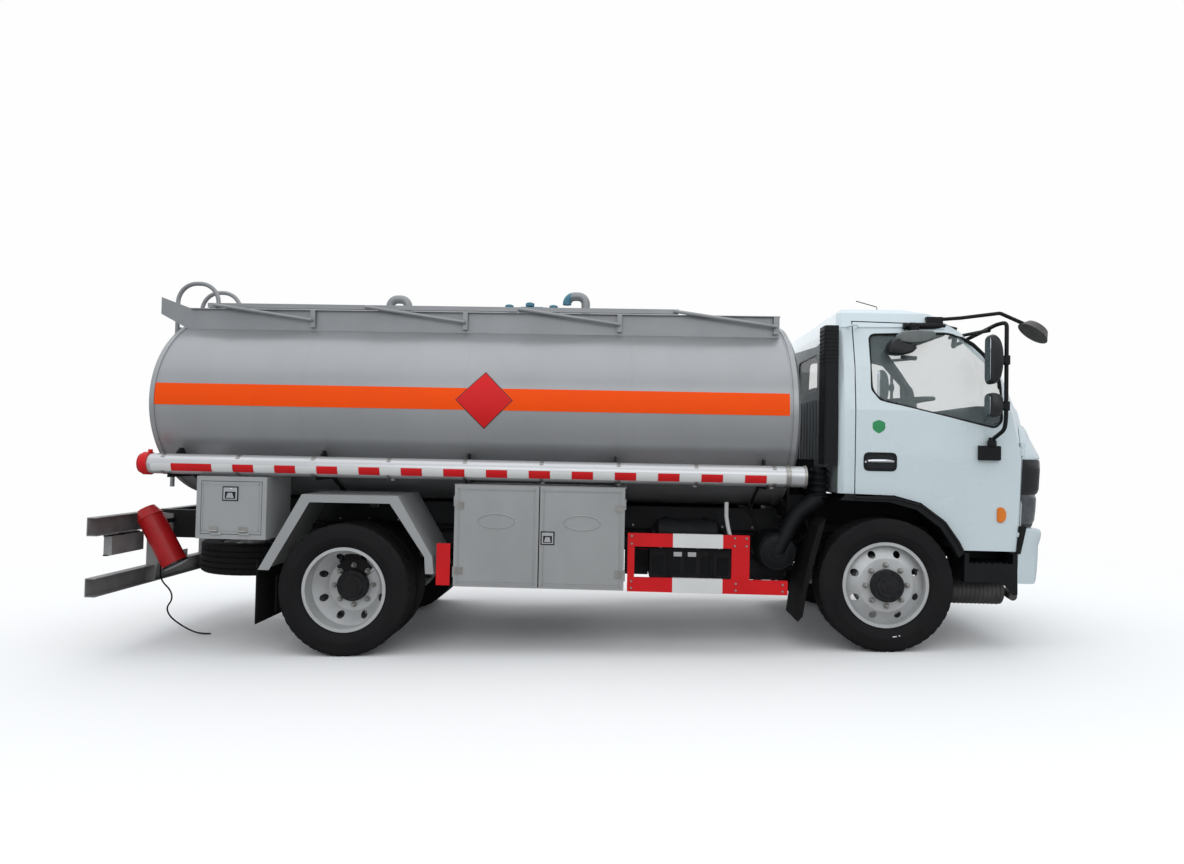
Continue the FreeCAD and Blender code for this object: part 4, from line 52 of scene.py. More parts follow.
# Driving dimensions, read off the frame where it has them
tyre_low, tyre_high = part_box("tyre_front_right")
FRONT_X = (tyre_low[0] + tyre_high[0]) / 2 / MM
TYRE_R = (tyre_high[2] - tyre_low[2]) / 2 / MM
rear_low, rear_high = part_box("tyres_rear_right")
WHEELBASE = FRONT_X - (rear_low[0] + rear_high[0]) / 2 / MM
RAKE = math.radians(1.75)
LEVEL = Matrix.Translation((FRONT_X * MM, 0, 0))
LEAN = (Matrix.Translation((FRONT_X * MM, 0, TYRE_R * MM)) @ Matrix.Rotation(RAKE, 4, "Y")
        @ Matrix.Translation((0, 0, -TYRE_R * MM)))
SIDES = ((-1, "right"), (1, "left"))
FRAME_Y = 403


# Materials
def graph(name):
    material = bpy.data.materials.new(name)
    material.use_nodes = True
    tree = material.node_tree
    return material, tree, tree.nodes["Principled BSDF"]


def set_inputs(node, values):
    for key, value in values.items():
        node.inputs[key].default_value = value
    return node


def add_node(tree, kind, values=None, **settings):
    """A new node with its settings and the values of its inputs."""
    node = tree.nodes.new("ShaderNode" + kind)
    for key, value in settings.items():
        setattr(node, key, value)
    return set_inputs(node, values or {})


def noise(tree, scale, detail=4.0, stretch=(1, 1, 1), rough=0.55):
    coords = add_node(tree, "TexCoord")
    mapping = add_node(tree, "Mapping", {"Scale": stretch})
    texture = add_node(tree, "TexNoise", {"Scale": scale, "Detail": detail, "Roughness": rough})
    tree.links.new(coords.outputs["Object"], mapping.inputs["Vector"])
    tree.links.new(mapping.outputs["Vector"], texture.inputs["Vector"])
    return texture.outputs["Fac"]


def ramp(tree, source, low, high):
    node = add_node(tree, "ValToRGB")
    for element, place, colour in zip(node.color_ramp.elements, (0.35, 0.65), (low, high)):
        element.position = place
        element.color = (*colour, 1)
    tree.links.new(source, node.inputs["Fac"])
    return node.outputs["Color"]


def spread(tree, source, low, high):
    node = add_node(tree, "MapRange", {"To Min": low, "To Max": high})
    tree.links.new(source, node.inputs["Value"])
    return node.outputs["Result"]


def finish(name, colour, rough=0.45, metallic=0.0, mottle=0.06, scale=6.0, bump=0.05, grain=90.0, coat=0.0,
           dirt=0.0, dirt_colour=(0.16, 0.14, 0.12), shine=0.5, stretch=(1, 1, 1)):
    """A procedural finish: mottled colour, dirt in broad patches, uneven gloss and a fine grain."""
    material, tree, shader = graph(name)
    broad = noise(tree, scale, 5.0, stretch)
    low = tuple(channel * (1 - mottle) for channel in colour)
    high = tuple(min(1, channel * (1 + mottle)) for channel in colour)
    base = ramp(tree, broad, low, high)
    if dirt:
        film = noise(tree, scale * 0.45, 7.0, stretch, 0.68)
        amount = spread(tree, film, -dirt * 0.6, dirt * 1.2)
        mixed = add_node(tree, "Mix", {"B": (*dirt_colour, 1)}, data_type="RGBA")
        clamp = add_node(tree, "Clamp")
        tree.links.new(amount, clamp.inputs["Value"])
        tree.links.new(clamp.outputs["Result"], mixed.inputs["Factor"])
        tree.links.new(base, mixed.inputs["A"])
        base = mixed.outputs["Result"]
    tree.links.new(base, shader.inputs["Base Color"])
    tree.links.new(spread(tree, broad, rough * 0.82, min(1, rough * 1.2)), shader.inputs["Roughness"])
    set_inputs(shader, {"Metallic": metallic, "Coat Weight": coat, "Specular IOR Level": shine})
    height = add_node(tree, "Bump", {"Strength": bump, "Distance": 0.004})
    tree.links.new(noise(tree, grain, 3.0), height.inputs["Height"])
    tree.links.new(height.outputs["Normal"], shader.inputs["Normal"])
    return material


def glassy(name, colour, rough=0.03, alpha=0.35):
    material, tree, shader = graph(name)
    film = noise(tree, 3.0, 5.0)
    tree.links.new(ramp(tree, film, tuple(c * 0.92 for c in colour), colour), shader.inputs["Base Color"])
    tree.links.new(spread(tree, film, rough, rough * 2.2), shader.inputs["Roughness"])
    set_inputs(shader, {"Alpha": alpha, "IOR": 1.5, "Coat Weight": 0.6, "Coat Roughness": 0.03})
    return material


M = {
    "tank": finish("tank_silver", (0.36, 0.37, 0.38), 0.36, 0.4, 0.05, 1.6, 0.03, 60, 0.15, 0.14,
                   stretch=(1, 1, 0.35)),
    "walkway": finish("walkway_silver", (0.31, 0.32, 0.33), 0.42, 0.4, 0.07, 3.0, 0.05, 80, 0, 0.18),
    "orange": finish("stripe_orange", (1.0, 0.085, 0.0), 0.5, 0, 0.03, 3.0, 0.02, shine=0.15),
    "red": finish("sign_red", (0.70, 0.010, 0.012), 0.5, 0, 0.06, 3.0, shine=0.25),
    "cab": finish("cab_white", (0.66, 0.76, 0.79), 0.28, 0, 0.02, 2.0, 0.01, 60, 0.5, 0.04,
                  (0.45, 0.48, 0.48)),
    "bumper": finish("bumper_white", (0.62, 0.72, 0.75), 0.34, 0, 0.03, 2.0, 0.02, 60, 0.3, 0.08),
    "box": finish("box_grey", (0.36, 0.37, 0.37), 0.46, 0.15, 0.05, 3.0, 0.05, 70, 0, 0.16,
                  stretch=(1, 1, 0.5)),
    "frame": finish("frame_dark", (0.016, 0.017, 0.019), 0.6, 0.1, 0.25, 8.0, 0.12, 60, 0, 0.22,
                    (0.05, 0.045, 0.04), 0.2),
    "cast": finish("cast_dark", (0.020, 0.020, 0.022), 0.7, 0.2, 0.3, 9.0, 0.3, 45, 0, 0.3,
                   (0.06, 0.05, 0.04), 0.2),
    "plastic": finish("plastic_black", (0.006, 0.007, 0.008), 0.5, 0, 0.2, 10.0, 0.12, 150, 0, 0.03,
                      (0.05, 0.05, 0.05), 0.22),
    "gloss": finish("gloss_black", (0.008, 0.009, 0.011), 0.24, 0, 0.1, 6.0, 0.02, 60, 0.1, shine=0.3),
    "rubber": finish("flap_rubber", (0.007, 0.007, 0.007), 0.75, 0, 0.25, 8.0, 0.2, 90, 0, 0.12,
                     (0.05, 0.045, 0.04), 0.15),
    "tyre": finish("tyre_rubber", (0.007, 0.007, 0.008), 0.72, 0, 0.25, 7.0, 0.2, 110, 0, 0.16,
                   (0.045, 0.04, 0.036), 0.2),
    "rim": finish("rim_silver", (0.56, 0.57, 0.57), 0.4, 0.35, 0.06, 8.0, 0.06, 90, 0, 0.2),
    "guard_red": finish("guard_red", (0.66, 0.006, 0.010), 0.45, 0, 0.06, 5.0, 0.05, 60, 0.05, 0.08,
                        (0.2, 0.02, 0.02), 0.25),
    "white": finish("guard_white", (0.74, 0.75, 0.74), 0.4, 0, 0.03, 5.0, 0.05, 60, 0, 0.1),
    "tube": finish("tube_silver", (0.60, 0.61, 0.62), 0.3, 0.6, 0.05, 4.0, 0.05, 90, 0, 0.06,
                   stretch=(0.3, 1, 1)),
    "steel": finish("bright_steel", (0.36, 0.35, 0.33), 0.34, 0.9, 0.1, 9.0, 0.08, 60),
    "chrome": finish("chrome", (0.72, 0.73, 0.75), 0.12, 1.0, 0.03, 9.0, 0.01),
    "lid": finish("fitting_blue", (0.055, 0.20, 0.28), 0.45, 0.1, 0.15, 9.0, 0.15, 60, 0, 0.15),
    "seat": finish("seat_cloth", (0.045, 0.047, 0.052), 0.9, 0, 0.25, 40.0, 0.4, 300),
    "amber": finish("lamp_amber", (0.85, 0.22, 0.01), 0.2, 0, 0.08, 20.0, 0.1, 120, 0.5),
    "tail": finish("lamp_red", (0.5, 0.01, 0.012), 0.2, 0, 0.08, 20.0, 0.1, 120, 0.5),
    "lamp": finish("lamp_clear", (0.68, 0.72, 0.74), 0.1, 0.2, 0.08, 20.0, 0.1, 120, 0.5),
    "green": finish("sticker_green", (0.02, 0.28, 0.09), 0.45, 0, 0.08, 20.0),
    "glass": glassy("window_glass", (0.40, 0.50, 0.50), 0.02, 0.14),
    "trim": finish("cab_trim", (0.045, 0.048, 0.050), 0.7, 0, 0.12, 12.0, 0.1, 140, 0, 0.05,
                   (0.09, 0.09, 0.09), 0.25),
    # Cab paint darkened for the rear wall and its ribs: painted shade of the cab's back, with brown dirt
    # patches on top.
    "shade": finish("cab_rear_painted_shade_and_dirt", (0.27, 0.31, 0.32), 0.5, 0, 0.14, 5.0, 0.05, 60, 0, 0.5,
                    (0.10, 0.09, 0.075), stretch=(1, 1, 0.3)),
    "dull": finish("dull_steel", (0.115, 0.11, 0.105), 0.5, 0.6, 0.2, 8.0, 0.12, 60, 0, 0.25,
                   (0.06, 0.05, 0.04)),
    "hub": finish("hub_black", (0.010, 0.010, 0.011), 0.6, 0, 0.5, 26.0, 0.8, 120, 0, 0.1,
                  (0.05, 0.05, 0.05), 0.3),
    "shell": finish("mirror_shell", (0.014, 0.015, 0.017), 0.38, 0, 0.2, 10.0, 0.08, 150, 0.1, 0.03,
                    (0.05, 0.05, 0.05), 0.35),
    "mirror": finish("mirror_face", (0.62, 0.66, 0.70), 0.04, 1.0, 0.02, 4.0, 0.0),
    "smoke": finish("lamp_smoke", (0.10, 0.11, 0.12), 0.12, 0.55, 0.25, 26.0, 0.08, 120, 0.4),
    # Mid grey for the kerb mirror's case: painted sheen of the sky on the dark case.
    "case": finish("case_grey_painted_sky_sheen", (0.12, 0.135, 0.135), 0.45, 0, 0.12, 10.0, 0.06, 120, 0.1, 0.05),
    "bar": finish("bar_grey", (0.30, 0.30, 0.30), 0.5, 0.3, 0.15, 7.0, 0.1, 60, 0, 0.3),
    "dark_red": finish("cylinder_red", (0.42, 0.006, 0.008), 0.4, 0, 0.1, 5.0, 0.05, 60, 0.1, 0.1,
                       (0.12, 0.02, 0.02), 0.3),
}


BACKDROP = (0.985, 0.99, 0.985)
FLOOR_FADE = (3.2, 9.0)       # metres from the middle, where the floor turns into the backdrop


def floor_finish():
    """A pale floor: as light as the backdrop where the camera sees it, darker for what bounces off it."""
    material, tree, shader = graph("floor_pale")
    path = add_node(tree, "LightPath")
    mixed = add_node(tree, "Mix", {"A": (0.42, 0.42, 0.42, 1), "B": (0.97, 0.975, 0.97, 1)}, data_type="RGBA")
    tree.links.new(path.outputs["Is Camera Ray"], mixed.inputs["Factor"])
    tree.links.new(mixed.outputs["Result"], shader.inputs["Base Color"])
    set_inputs(shader, {"Roughness": 1.0, "Specular IOR Level": 0.0})
    coords = add_node(tree, "TexCoord")
    reach = add_node(tree, "VectorMath", operation="LENGTH")
    tree.links.new(coords.outputs["Object"], reach.inputs[0])
    fade = add_node(tree, "MapRange", {"From Min": FLOOR_FADE[0], "From Max": FLOOR_FADE[1]},
                    interpolation_type="SMOOTHSTEP")
    tree.links.new(reach.outputs["Value"], fade.inputs["Value"])
    seen = add_node(tree, "Math", operation="MULTIPLY")
    tree.links.new(fade.outputs["Result"], seen.inputs[0])
    tree.links.new(path.outputs["Is Camera Ray"], seen.inputs[1])
    backdrop = add_node(tree, "Emission", {"Color": (*BACKDROP, 1)})
    blend = add_node(tree, "MixShader")
    tree.links.new(seen.outputs["Value"], blend.inputs["Fac"])
    tree.links.new(shader.outputs["BSDF"], blend.inputs[1])
    tree.links.new(backdrop.outputs["Emission"], blend.inputs[2])
    tree.links.new(blend.outputs["Shader"], tree.nodes["Material Output"].inputs["Surface"])
    return material


M["ground"] = floor_finish()
CARRIED = {
    "frame": ("frame_rails", "subframe", "battery_box"),
    "tank": ("tank_shell",),
    "walkway": ("walkway_sides", "handrail_arm_1", "handrail_arm_2", "handrail_arm_3", "handrail_arm_4",
                "handrail_rail", "ladder"),
    "tube": ("hose_tubes", "fuel_tank"),
    "box": ("valve_box", "valve_door_rear", "valve_door_front", "locker", "locker_door", "rear_fenders"),
    "rubber": ("mud_flaps",),
    "guard_red": ("side_guards", "extinguisher_holders"),
    "rim": ("rim_front_right", "rim_front_left", "rim_rear_right", "rim_rear_left", "spare_rim"),
    "lid": ("tank_top_fittings", "manhole_lid"),
    "plastic": ("air_filter", "intake_stack", "front_mirror", "wheel_flares", "mirror_right", "mirror_left"),
    "cast": ("axles", "knuckle_right", "knuckle_left", "leaf_springs", "engine_block", "gearbox_and_shaft"),
    "bar": ("rear_underrun",),
    "dull": ("silencer",),
    "bumper": ("bumper_and_steps",),
    "cab": ("cab_shell", "door_right", "door_left"),
    "gloss": ("grille_and_lamps",),
    "seat": ("cab_interior",),
    "glass": ("cab_glass", "door_glass_right", "door_glass_left"),
}
for key, names in CARRIED.items():
    for node_name in names:
        if node_name in NODES:
            mesh = NODES[node_name].data
            mesh.materials.clear()
            mesh.materials.append(M[key])


def around(count, shift=0.0):
    """Cosine and sine of evenly spaced turns."""
    angles = [math.tau * (k + shift) / count for k in range(count)]
    return [(math.cos(angle), math.sin(angle)) for angle in angles]


class Shape:
    """Collects simple solids, in millimetres, into one piece."""

    def __init__(self):
        self.verts = []
        self.faces = []

    def add(self, verts, faces):
        start = len(self.verts)
        self.verts += [tuple(v) for v in verts]
        self.faces += [tuple(start + i for i in face) for face in faces]
        return self

    def box(self, x0, x1, y0, y1, z0, z1):
        verts = [(x, y, z) for x in (x0, x1) for y in (y0, y1) for z in (z0, z1)]
        return self.add(verts, [(0, 1, 3, 2), (4, 6, 7, 5), (0, 4, 5, 1), (2, 3, 7, 6), (0, 2, 6, 4),
                                (1, 5, 7, 3)])

    def prism(self, axis, corners, low, high):
        """A flat outline pushed along one axis. Corners are (x, z) for y, (x, y) for z and (y, z) for x."""
        count = len(corners)
        spot = {"x": lambda a, b, d: (d, a, b),
                "y": lambda a, b, d: (a, d, b),
                "z": lambda a, b, d: (a, b, d)}[axis]
        verts = [spot(a, b, low) for a, b in corners] + [spot(a, b, high) for a, b in corners]
        faces = [tuple(range(count))[::-1], tuple(range(count, 2 * count))]
        faces += [(i, (i + 1) % count, count + (i + 1) % count, count + i) for i in range(count)]
        return self.add(verts, faces)

    def sweep(self, points, radius, sides=12, closed=False):
        """A round bar along points. Radius is one number, or one for each point."""
        points = [Vector(p) for p in points]
        count = len(points)
        radii = radius if isinstance(radius, (list, tuple)) else [radius] * count
        verts = []
        side = None
        for i, point in enumerate(points):
            if closed:
                along = (points[(i + 1) % count] - points[i - 1]).normalized()
            else:
                along = (points[min(i + 1, count - 1)] - points[max(i - 1, 0)]).normalized()
            if side is None:
                side = along.orthogonal().normalized()
            side = (side - along * side.dot(along)).normalized()
            other = along.cross(side)
            verts += [point + (side * c + other * s) * radii[i] for c, s in around(sides)]
        faces = []
        for i in range(count if closed else count - 1):
            a, b = i * sides, (i + 1) % count * sides
            faces += [(a + k, a + (k + 1) % sides, b + (k + 1) % sides, b + k) for k in range(sides)]
        if not closed:
            faces += [tuple(range(sides))[::-1], tuple((count - 1) * sides + k for k in range(sides))]
        return self.add(verts, faces)

    def lathe(self, axis, centre, profile, sides=48, arc=(0, math.tau)):
        """A turned form: profile is (along the axis, radius)."""
        full = abs(arc[1] - arc[0] - math.tau) < 1e-6
        steps = sides if full else sides + 1
        verts = []
        for k in range(steps):
            angle = arc[0] + (arc[1] - arc[0]) * k / sides
            for along, radius in profile:
                a, b = radius * math.cos(angle), radius * math.sin(angle)
                local = {"x": (along, a, b), "y": (a, along, b), "z": (a, b, along)}[axis]
                verts.append(tuple(c + v for c, v in zip(centre, local)))
        rows = len(profile)
        faces = []
        for k in range(steps if full else steps - 1):
            a, b = k * rows, (k + 1) % steps * rows
            faces += [(a + i, a + i + 1, b + i + 1, b + i) for i in range(rows - 1)]
        return self.add(verts, faces)

    def disc(self, axis, centre, radius, thick, sides=24):
        """A short round bar, its middle at centre."""
        half = thick / 2
        cut = min(radius, thick) * 0.08
        profile = [(-half, 0), (-half, radius - cut), (-half + cut, radius), (half - cut, radius),
                   (half, radius - cut), (half, 0)]
        return self.lathe(axis, centre, profile, sides)

    def done(self, name, material, body, level=False, bevel=0.0, smooth=True, slot=None):
        mesh = bpy.data.meshes.new(name)
        mesh.from_pydata([[c * MM for c in v] for v in self.verts], [], self.faces)
        mesh.update()
        work = bmesh.new()
        work.from_mesh(mesh)
        bmesh.ops.remove_doubles(work, verts=work.verts, dist=1e-6)
        bmesh.ops.recalc_face_normals(work, faces=work.faces)
        if bevel:
            sharp = math.radians(50)
            edges = [e for e in work.edges if len(e.link_faces) == 2 and e.calc_face_angle() > sharp]
            bmesh.ops.bevel(work, geom=edges, offset=bevel * MM, segments=2, affect="EDGES",
                            clamp_overlap=True)
        work.transform(LEVEL if level else LEAN)
        work.to_mesh(mesh)
        work.free()
        for polygon in mesh.polygons:
            polygon.use_smooth = smooth
        mesh.materials.append(M[material])
        obj = bpy.data.objects.new(name, mesh)
        bpy.context.scene.collection.objects.link(obj)
        if smooth:
            mesh.set_sharp_from_angle(angle=math.radians(35))
        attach(obj, body)
        return obj


def boxes(name, material, body, places, **how):
    """One piece of plain boxes: (x low, x high, y low, y high, z low, z high) each."""
    shape = Shape()
    for place in places:
        shape.box(*place)
    return shape.done(name, material, body, **how)


def discs(name, material, body, axis, places, radius, thick, sides, **how):
    """One piece of equal short round bars, their middles at the places."""
    shape = Shape()
    for place in places:
        shape.disc(axis, place, radius, thick, sides)
    return shape.done(name, material, body, **how)


def runs(name, material, body, lines):
    """One piece of round bars or hoses: (points, radius, sides) each."""
    shape = Shape()
    for points, radius, sides in lines:
        shape.sweep(points, radius, sides)
    return shape.done(name, material, body)


# Stage, camera, lights
def make_stage():
    mesh = bpy.data.meshes.new("floor")
    reach = 60.0
    mesh.from_pydata([(-reach, -reach, 0), (reach, -reach, 0), (reach, reach, 0), (-reach, reach, 0)], [],
                     [(0, 1, 2, 3)])
    mesh.materials.append(M["ground"])
    floor = bpy.data.objects.new("floor", mesh)
    bpy.context.scene.collection.objects.link(floor)


PHOTO_WIDTH = 1184
FOCAL_PX = 817.8
SENSOR = 36.0
EYE = (-1846.9, -6835.4, 1406.2)     # from the front axle, the centre plane and the ground
YAW, PITCH, ROLL = -0.03373, 0.0261, -0.0103


def make_camera():
    data = bpy.data.cameras.new("camera")
    data.sensor_width = SENSOR
    data.sensor_fit = "HORIZONTAL"
    data.lens = SENSOR * FOCAL_PX / PHOTO_WIDTH
    data.clip_end = 200
    right = Vector((math.cos(YAW), -math.sin(YAW), 0))
    ahead = Vector((math.sin(YAW), math.cos(YAW), 0)) * math.cos(PITCH) + Vector((0, 0, math.sin(PITCH)))
    above = right.cross(ahead)
    turned_right = right * math.cos(ROLL) + above * math.sin(ROLL)
    turned_up = above * math.cos(ROLL) - right * math.sin(ROLL)
    axes = Matrix((turned_right, turned_up, -ahead)).transposed().to_4x4()
    camera = bpy.data.objects.new("camera", data)
    camera.matrix_world = Matrix.Translation(((FRONT_X + EYE[0]) * MM, EYE[1] * MM, EYE[2] * MM)) @ axes
    bpy.context.scene.collection.objects.link(camera)
    bpy.context.scene.camera = camera


def area_light(name, spot, target, size, power):
    data = bpy.data.lights.new(name, "AREA")
    data.shape = "RECTANGLE"
    data.size, data.size_y = size
    data.energy = power
    lamp = bpy.data.objects.new(name, data)
    lamp.location = spot
    lamp.rotation_euler = (Vector(target) - Vector(spot)).to_track_quat("-Z", "Y").to_euler()
    bpy.context.scene.collection.objects.link(lamp)


def make_light():
    world = bpy.data.worlds.new("world")
    bpy.context.scene.world = world
    world.use_nodes = True
    tree = world.node_tree
    plain = set_inputs(tree.nodes["Background"], {"Color": (0.93, 0.96, 1.0, 1), "Strength": 0.86})
    seen = add_node(tree, "Background", {"Color": (*BACKDROP, 1)})
    path = add_node(tree, "LightPath")
    mix = add_node(tree, "MixShader")
    tree.links.new(path.outputs["Is Camera Ray"], mix.inputs["Fac"])
    tree.links.new(plain.outputs["Background"], mix.inputs[1])
    tree.links.new(seen.outputs["Background"], mix.inputs[2])
    tree.links.new(mix.outputs["Shader"], tree.nodes["World Output"].inputs["Surface"])
    area_light("overhead", (0, 0, 9), (0, 0, 0), (16, 12), 300)
    area_light("near_side", (1.5, -9, 5.5), (0, 0, 1.2), (12, 4), 150)
    area_light("far_side", (-1.5, 9, 5.0), (0, 0, 1.2), (12, 4), 110)
    bpy.context.scene.view_settings.view_transform = "Standard"


# Wheels
TREAD_HALF, SHOULDER_HALF, TYRE_HALF = 107, 120, 127.5
BEAD_R = 299
LUGS = 44
STEPS = LUGS * 4


def tyre(name, body, axis, centre, level, nodes=()):
    """A grooved road tyre in place of the smooth CAD one."""
    shape = Shape()
    depth = 11
    grooves = (-66, -23, 23, 66)
    half_groove = 5
    crown = [(-TREAD_HALF, 0)]
    for middle in grooves:
        crown += [(middle - half_groove, 0), (middle - half_groove + 1.5, -depth),
                  (middle + half_groove - 1.5, -depth), (middle + half_groove, 0)]
    crown += [(TREAD_HALF, 0)]
    flank = [(SHOULDER_HALF, -16), (SHOULDER_HALF + 1.5, -30), (TYRE_HALF - 2, -60), (TYRE_HALF, -88),
             (TYRE_HALF, -100), (TYRE_HALF - 3, -112), (TYRE_HALF - 5, -114), (TYRE_HALF - 7, -128),
             (TYRE_HALF - 8, -130), (TYRE_HALF - 20, -150), (TYRE_HALF - 24, -151),
             (TYRE_HALF - 28, BEAD_R - TYRE_R)]
    profile = [(-a, b) for a, b in flank[::-1]] + crown + flank
    rows = len(profile)
    verts = []
    for k in range(STEPS):
        angle = math.tau * k / STEPS
        low = k % 4 == 0
        for along, drop in profile:
            radius = TYRE_R + drop
            edge = abs(along)
            if low and edge > 66 and drop > -32:
                radius -= 4
            if k % 8 == 4 and 23 < edge < 66 and drop > -1:
                radius -= 3
            a, b = radius * math.cos(angle), radius * math.sin(angle)
            local = (a, along, b) if axis == "y" else (a, b, along)
            verts.append(tuple(c + v for c, v in zip(centre, local)))
    faces = []
    for k in range(STEPS):
        a, b = k * rows, (k + 1) % STEPS * rows
        faces += [(a + i, a + i + 1, b + i + 1, b + i) for i in range(rows - 1)]
        faces.append((a + rows - 1, a, b, b + rows - 1))
    shape.add(verts, faces)
    obj = shape.done(name, "tyre", body, level, smooth=True, slot="tyre_rubber")
    if nodes:
        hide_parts(*nodes)
    return obj


NUT_CIRCLE = 142.5
NUTS = 8
HUB_REACH = 46
REAR_OUTER_Y, REAR_INNER_Y, REAR_FACE_Y = 1020, 730, 886.5
FRONT_Y, FRONT_FACE = 925, 104       # the front wheel's middle plane and its nut face beyond it


def wheel_trim(name, body, axle_x, face_y, side, front):
    """Nuts, hub cap and valve on the nut face. face_y is the face's place, side its outward way."""
    def outward(*profile):
        return [(side * along, radius) for along, radius in profile]

    nuts = Shape()
    for c, s in around(NUTS):
        nuts.lathe("y", (axle_x + NUT_CIRCLE * c, face_y, TYRE_R + NUT_CIRCLE * s),
                   outward((0, 0.1), (0, 21), (5, 21), (5, 17), (26, 17), (29, 13), (29, 11), (40, 11),
                           (42, 8), (42, 0.1)), 6)
    nuts.done(name + "_nuts", "steel", body, True, smooth=False)
    cap = Shape()
    out = face_y + side * HUB_REACH
    cap.lathe("y", (axle_x, out, TYRE_R),
              outward((-44, 113), (1, 113), (5, 109), (6, 82), (12, 78), (14, 52), (14, 0.1)), 40)
    for c, s in around(8, 0.5):
        cap.disc("y", (axle_x + 96 * c, out + side * 8, TYRE_R + 96 * s), 8, 9, 6)
    cap.done(name + "_hub_cap", "hub", body, True)
    ring = Shape().lathe("y", (axle_x, out, TYRE_R), outward((13, 50), (18, 48), (20, 30), (21, 0.1)), 32)
    ring.done(name + "_cap_centre", "hub" if front else "cast", body, True)
    valve = Shape().sweep([(axle_x + 215, face_y + side * -30, TYRE_R + 100),
                           (axle_x + 222, face_y + side * 2, TYRE_R + 104)], 6, 8)
    valve.done(name + "_valve", "gloss", body, True)


def make_wheels():
    for side, word in SIDES:
        body = f"front_{word}_wheel"
        tyre(f"front_{word}_tyre_tread", body, "y", (0, side * FRONT_Y, TYRE_R), True,
             (f"tyre_front_{word}",))
        wheel_trim(f"front_{word}", body, 0, side * (FRONT_Y + FRONT_FACE), side, True)
        body = f"rear_{word}_wheels"
        tyre(f"rear_{word}_outer_tyre", body, "y", (-WHEELBASE, side * REAR_OUTER_Y, TYRE_R), True,
             (f"tyres_rear_{word}",))
        tyre(f"rear_{word}_inner_tyre", body, "y", (-WHEELBASE, side * REAR_INNER_Y, TYRE_R), True)
        wheel_trim(f"rear_{word}", body, -WHEELBASE, side * REAR_FACE_Y, side, False)
    tyre("spare_tyre_tread", "chassis", "z", (-4880, 0, 440), False, ("spare_tyre",))
    mark = Shape()
    for low, high in ((-1.48, -1.40), (-1.36, -1.33)):
        mark.lathe("y", (0, -FRONT_Y, TYRE_R), [(-TYRE_HALF - 0.6, 352), (-TYRE_HALF - 0.6, 360)], 6,
                   (low, high))
    mark.done("front_tyre_paint_mark", "white", "front_right_wheel", True)


# Tank
TANK_A, TANK_B, TANK_Z = 1050, 725, 1668
TANK_REAR, TANK_FRONT = -5276, -625


def tank_point(z, proud):
    """Distance from the centre plane of the tank's side at height z."""
    b = TANK_B + proud
    return (TANK_A + proud) * math.sqrt(max(0, 1 - ((z - TANK_Z) / b) ** 2))


def sheet(pairs, across):
    """A thin closed sheet from rows of points, each given at its back and at its front."""
    rows = len(pairs) // across
    faces = []
    for i in range(rows):
        for k in range(across):
            a, b = 2 * (i * across + k), 2 * ((i + 1) * across + k)
            if i < rows - 1 and k < across - 1:
                faces += [(a + 1, a + 3, b + 3, b + 1), (a, b, b + 2, a + 2)]
            if i < rows - 1 and k in (0, across - 1):
                faces.append((a, a + 1, b + 1, b))
            if k < across - 1 and i in (0, rows - 1):
                faces.append((a, a + 1, a + 3, a + 2))
    return Shape().add([point for pair in pairs for point in pair], faces)


def tank_patch(name, outline, proud, material, side, steps=10):
    """A sheet on the tank's side: z low, z high and a function from the height's share to (x low, x high)."""
    z_low, z_high, span = outline
    pairs = []
    for i in range(steps + 1):
        z = z_low + (z_high - z_low) * i / steps
        for x in span(i / steps):
            pairs.append([(x, side * tank_point(z, lift), z) for lift in (0.2, proud)])
    sheet(pairs, 2).done(name, material, "chassis")


def tank_ring(shape, x, width, proud, sides):
    """A band round the tank's section."""
    profile = ((-width / 2, -1), (-width / 2 + proud, proud), (width / 2 - proud, proud), (width / 2, -1))
    verts = [(x + dx, (TANK_A + lift) * c, TANK_Z + (TANK_B + lift) * s) for c, s in around(sides)
             for dx, lift in profile]
    faces = []
    for k in range(sides):
        a, b = k * 4, (k + 1) % sides * 4
        faces += [(a + i, a + i + 1, b + i + 1, b + i) for i in range(3)]
    shape.add(verts, faces)


STRIPE = (1635, 1792)
STRIPE_ENDS = (-5240, -686)
DIAMOND_X, DIAMOND_Z, DIAMOND_HALF = -2848, 1707, 205


def make_tank():
    for side, word in SIDES:
        tank_patch(f"stripe_{word}", (*STRIPE, lambda share: STRIPE_ENDS), 3.0, "orange", side)
        for part, grow, proud, material in (("edge", 0, 3.8, "gloss"), ("face", -7, 4.6, "red")):
            half = DIAMOND_HALF + grow
            tank_patch(f"diamond_{part}_{word}",
                       (DIAMOND_Z - half, DIAMOND_Z + half,
                        lambda share, h=half: (DIAMOND_X - h * (1 - abs(2 * share - 1)) - 0.5,
                                               DIAMOND_X + h * (1 - abs(2 * share - 1)) + 0.5)),
                       proud, material, side, 24)
    seams = Shape()
    for x in (-4180, -2990, -1800):
        tank_ring(seams, x, 9, 1.0, 96)
    seams.done("tank_weld_seams", "tank", "chassis")
    bands = Shape()
    for x in (TANK_REAR + 44, TANK_FRONT - 44):
        tank_ring(bands, x, 12, 2.4, 96)
    bands.done("tank_end_seams", "tank", "chassis")
    # Rings pressed into the rear head
    rear = Shape()
    for share in (0.55, 0.8):
        ring = [(-5334 + 22 * share, TANK_A * share * c, TANK_Z + TANK_B * share * s) for c, s in around(72)]
        rear.sweep(ring, 7, 8, True)
    rear.done("tank_head_rings", "tank", "chassis")


TAPE = 150                                # the length of one colour on the tubes
TUBE_Y, TUBE_Z, TUBE_R = 1077, 1209, 72.5


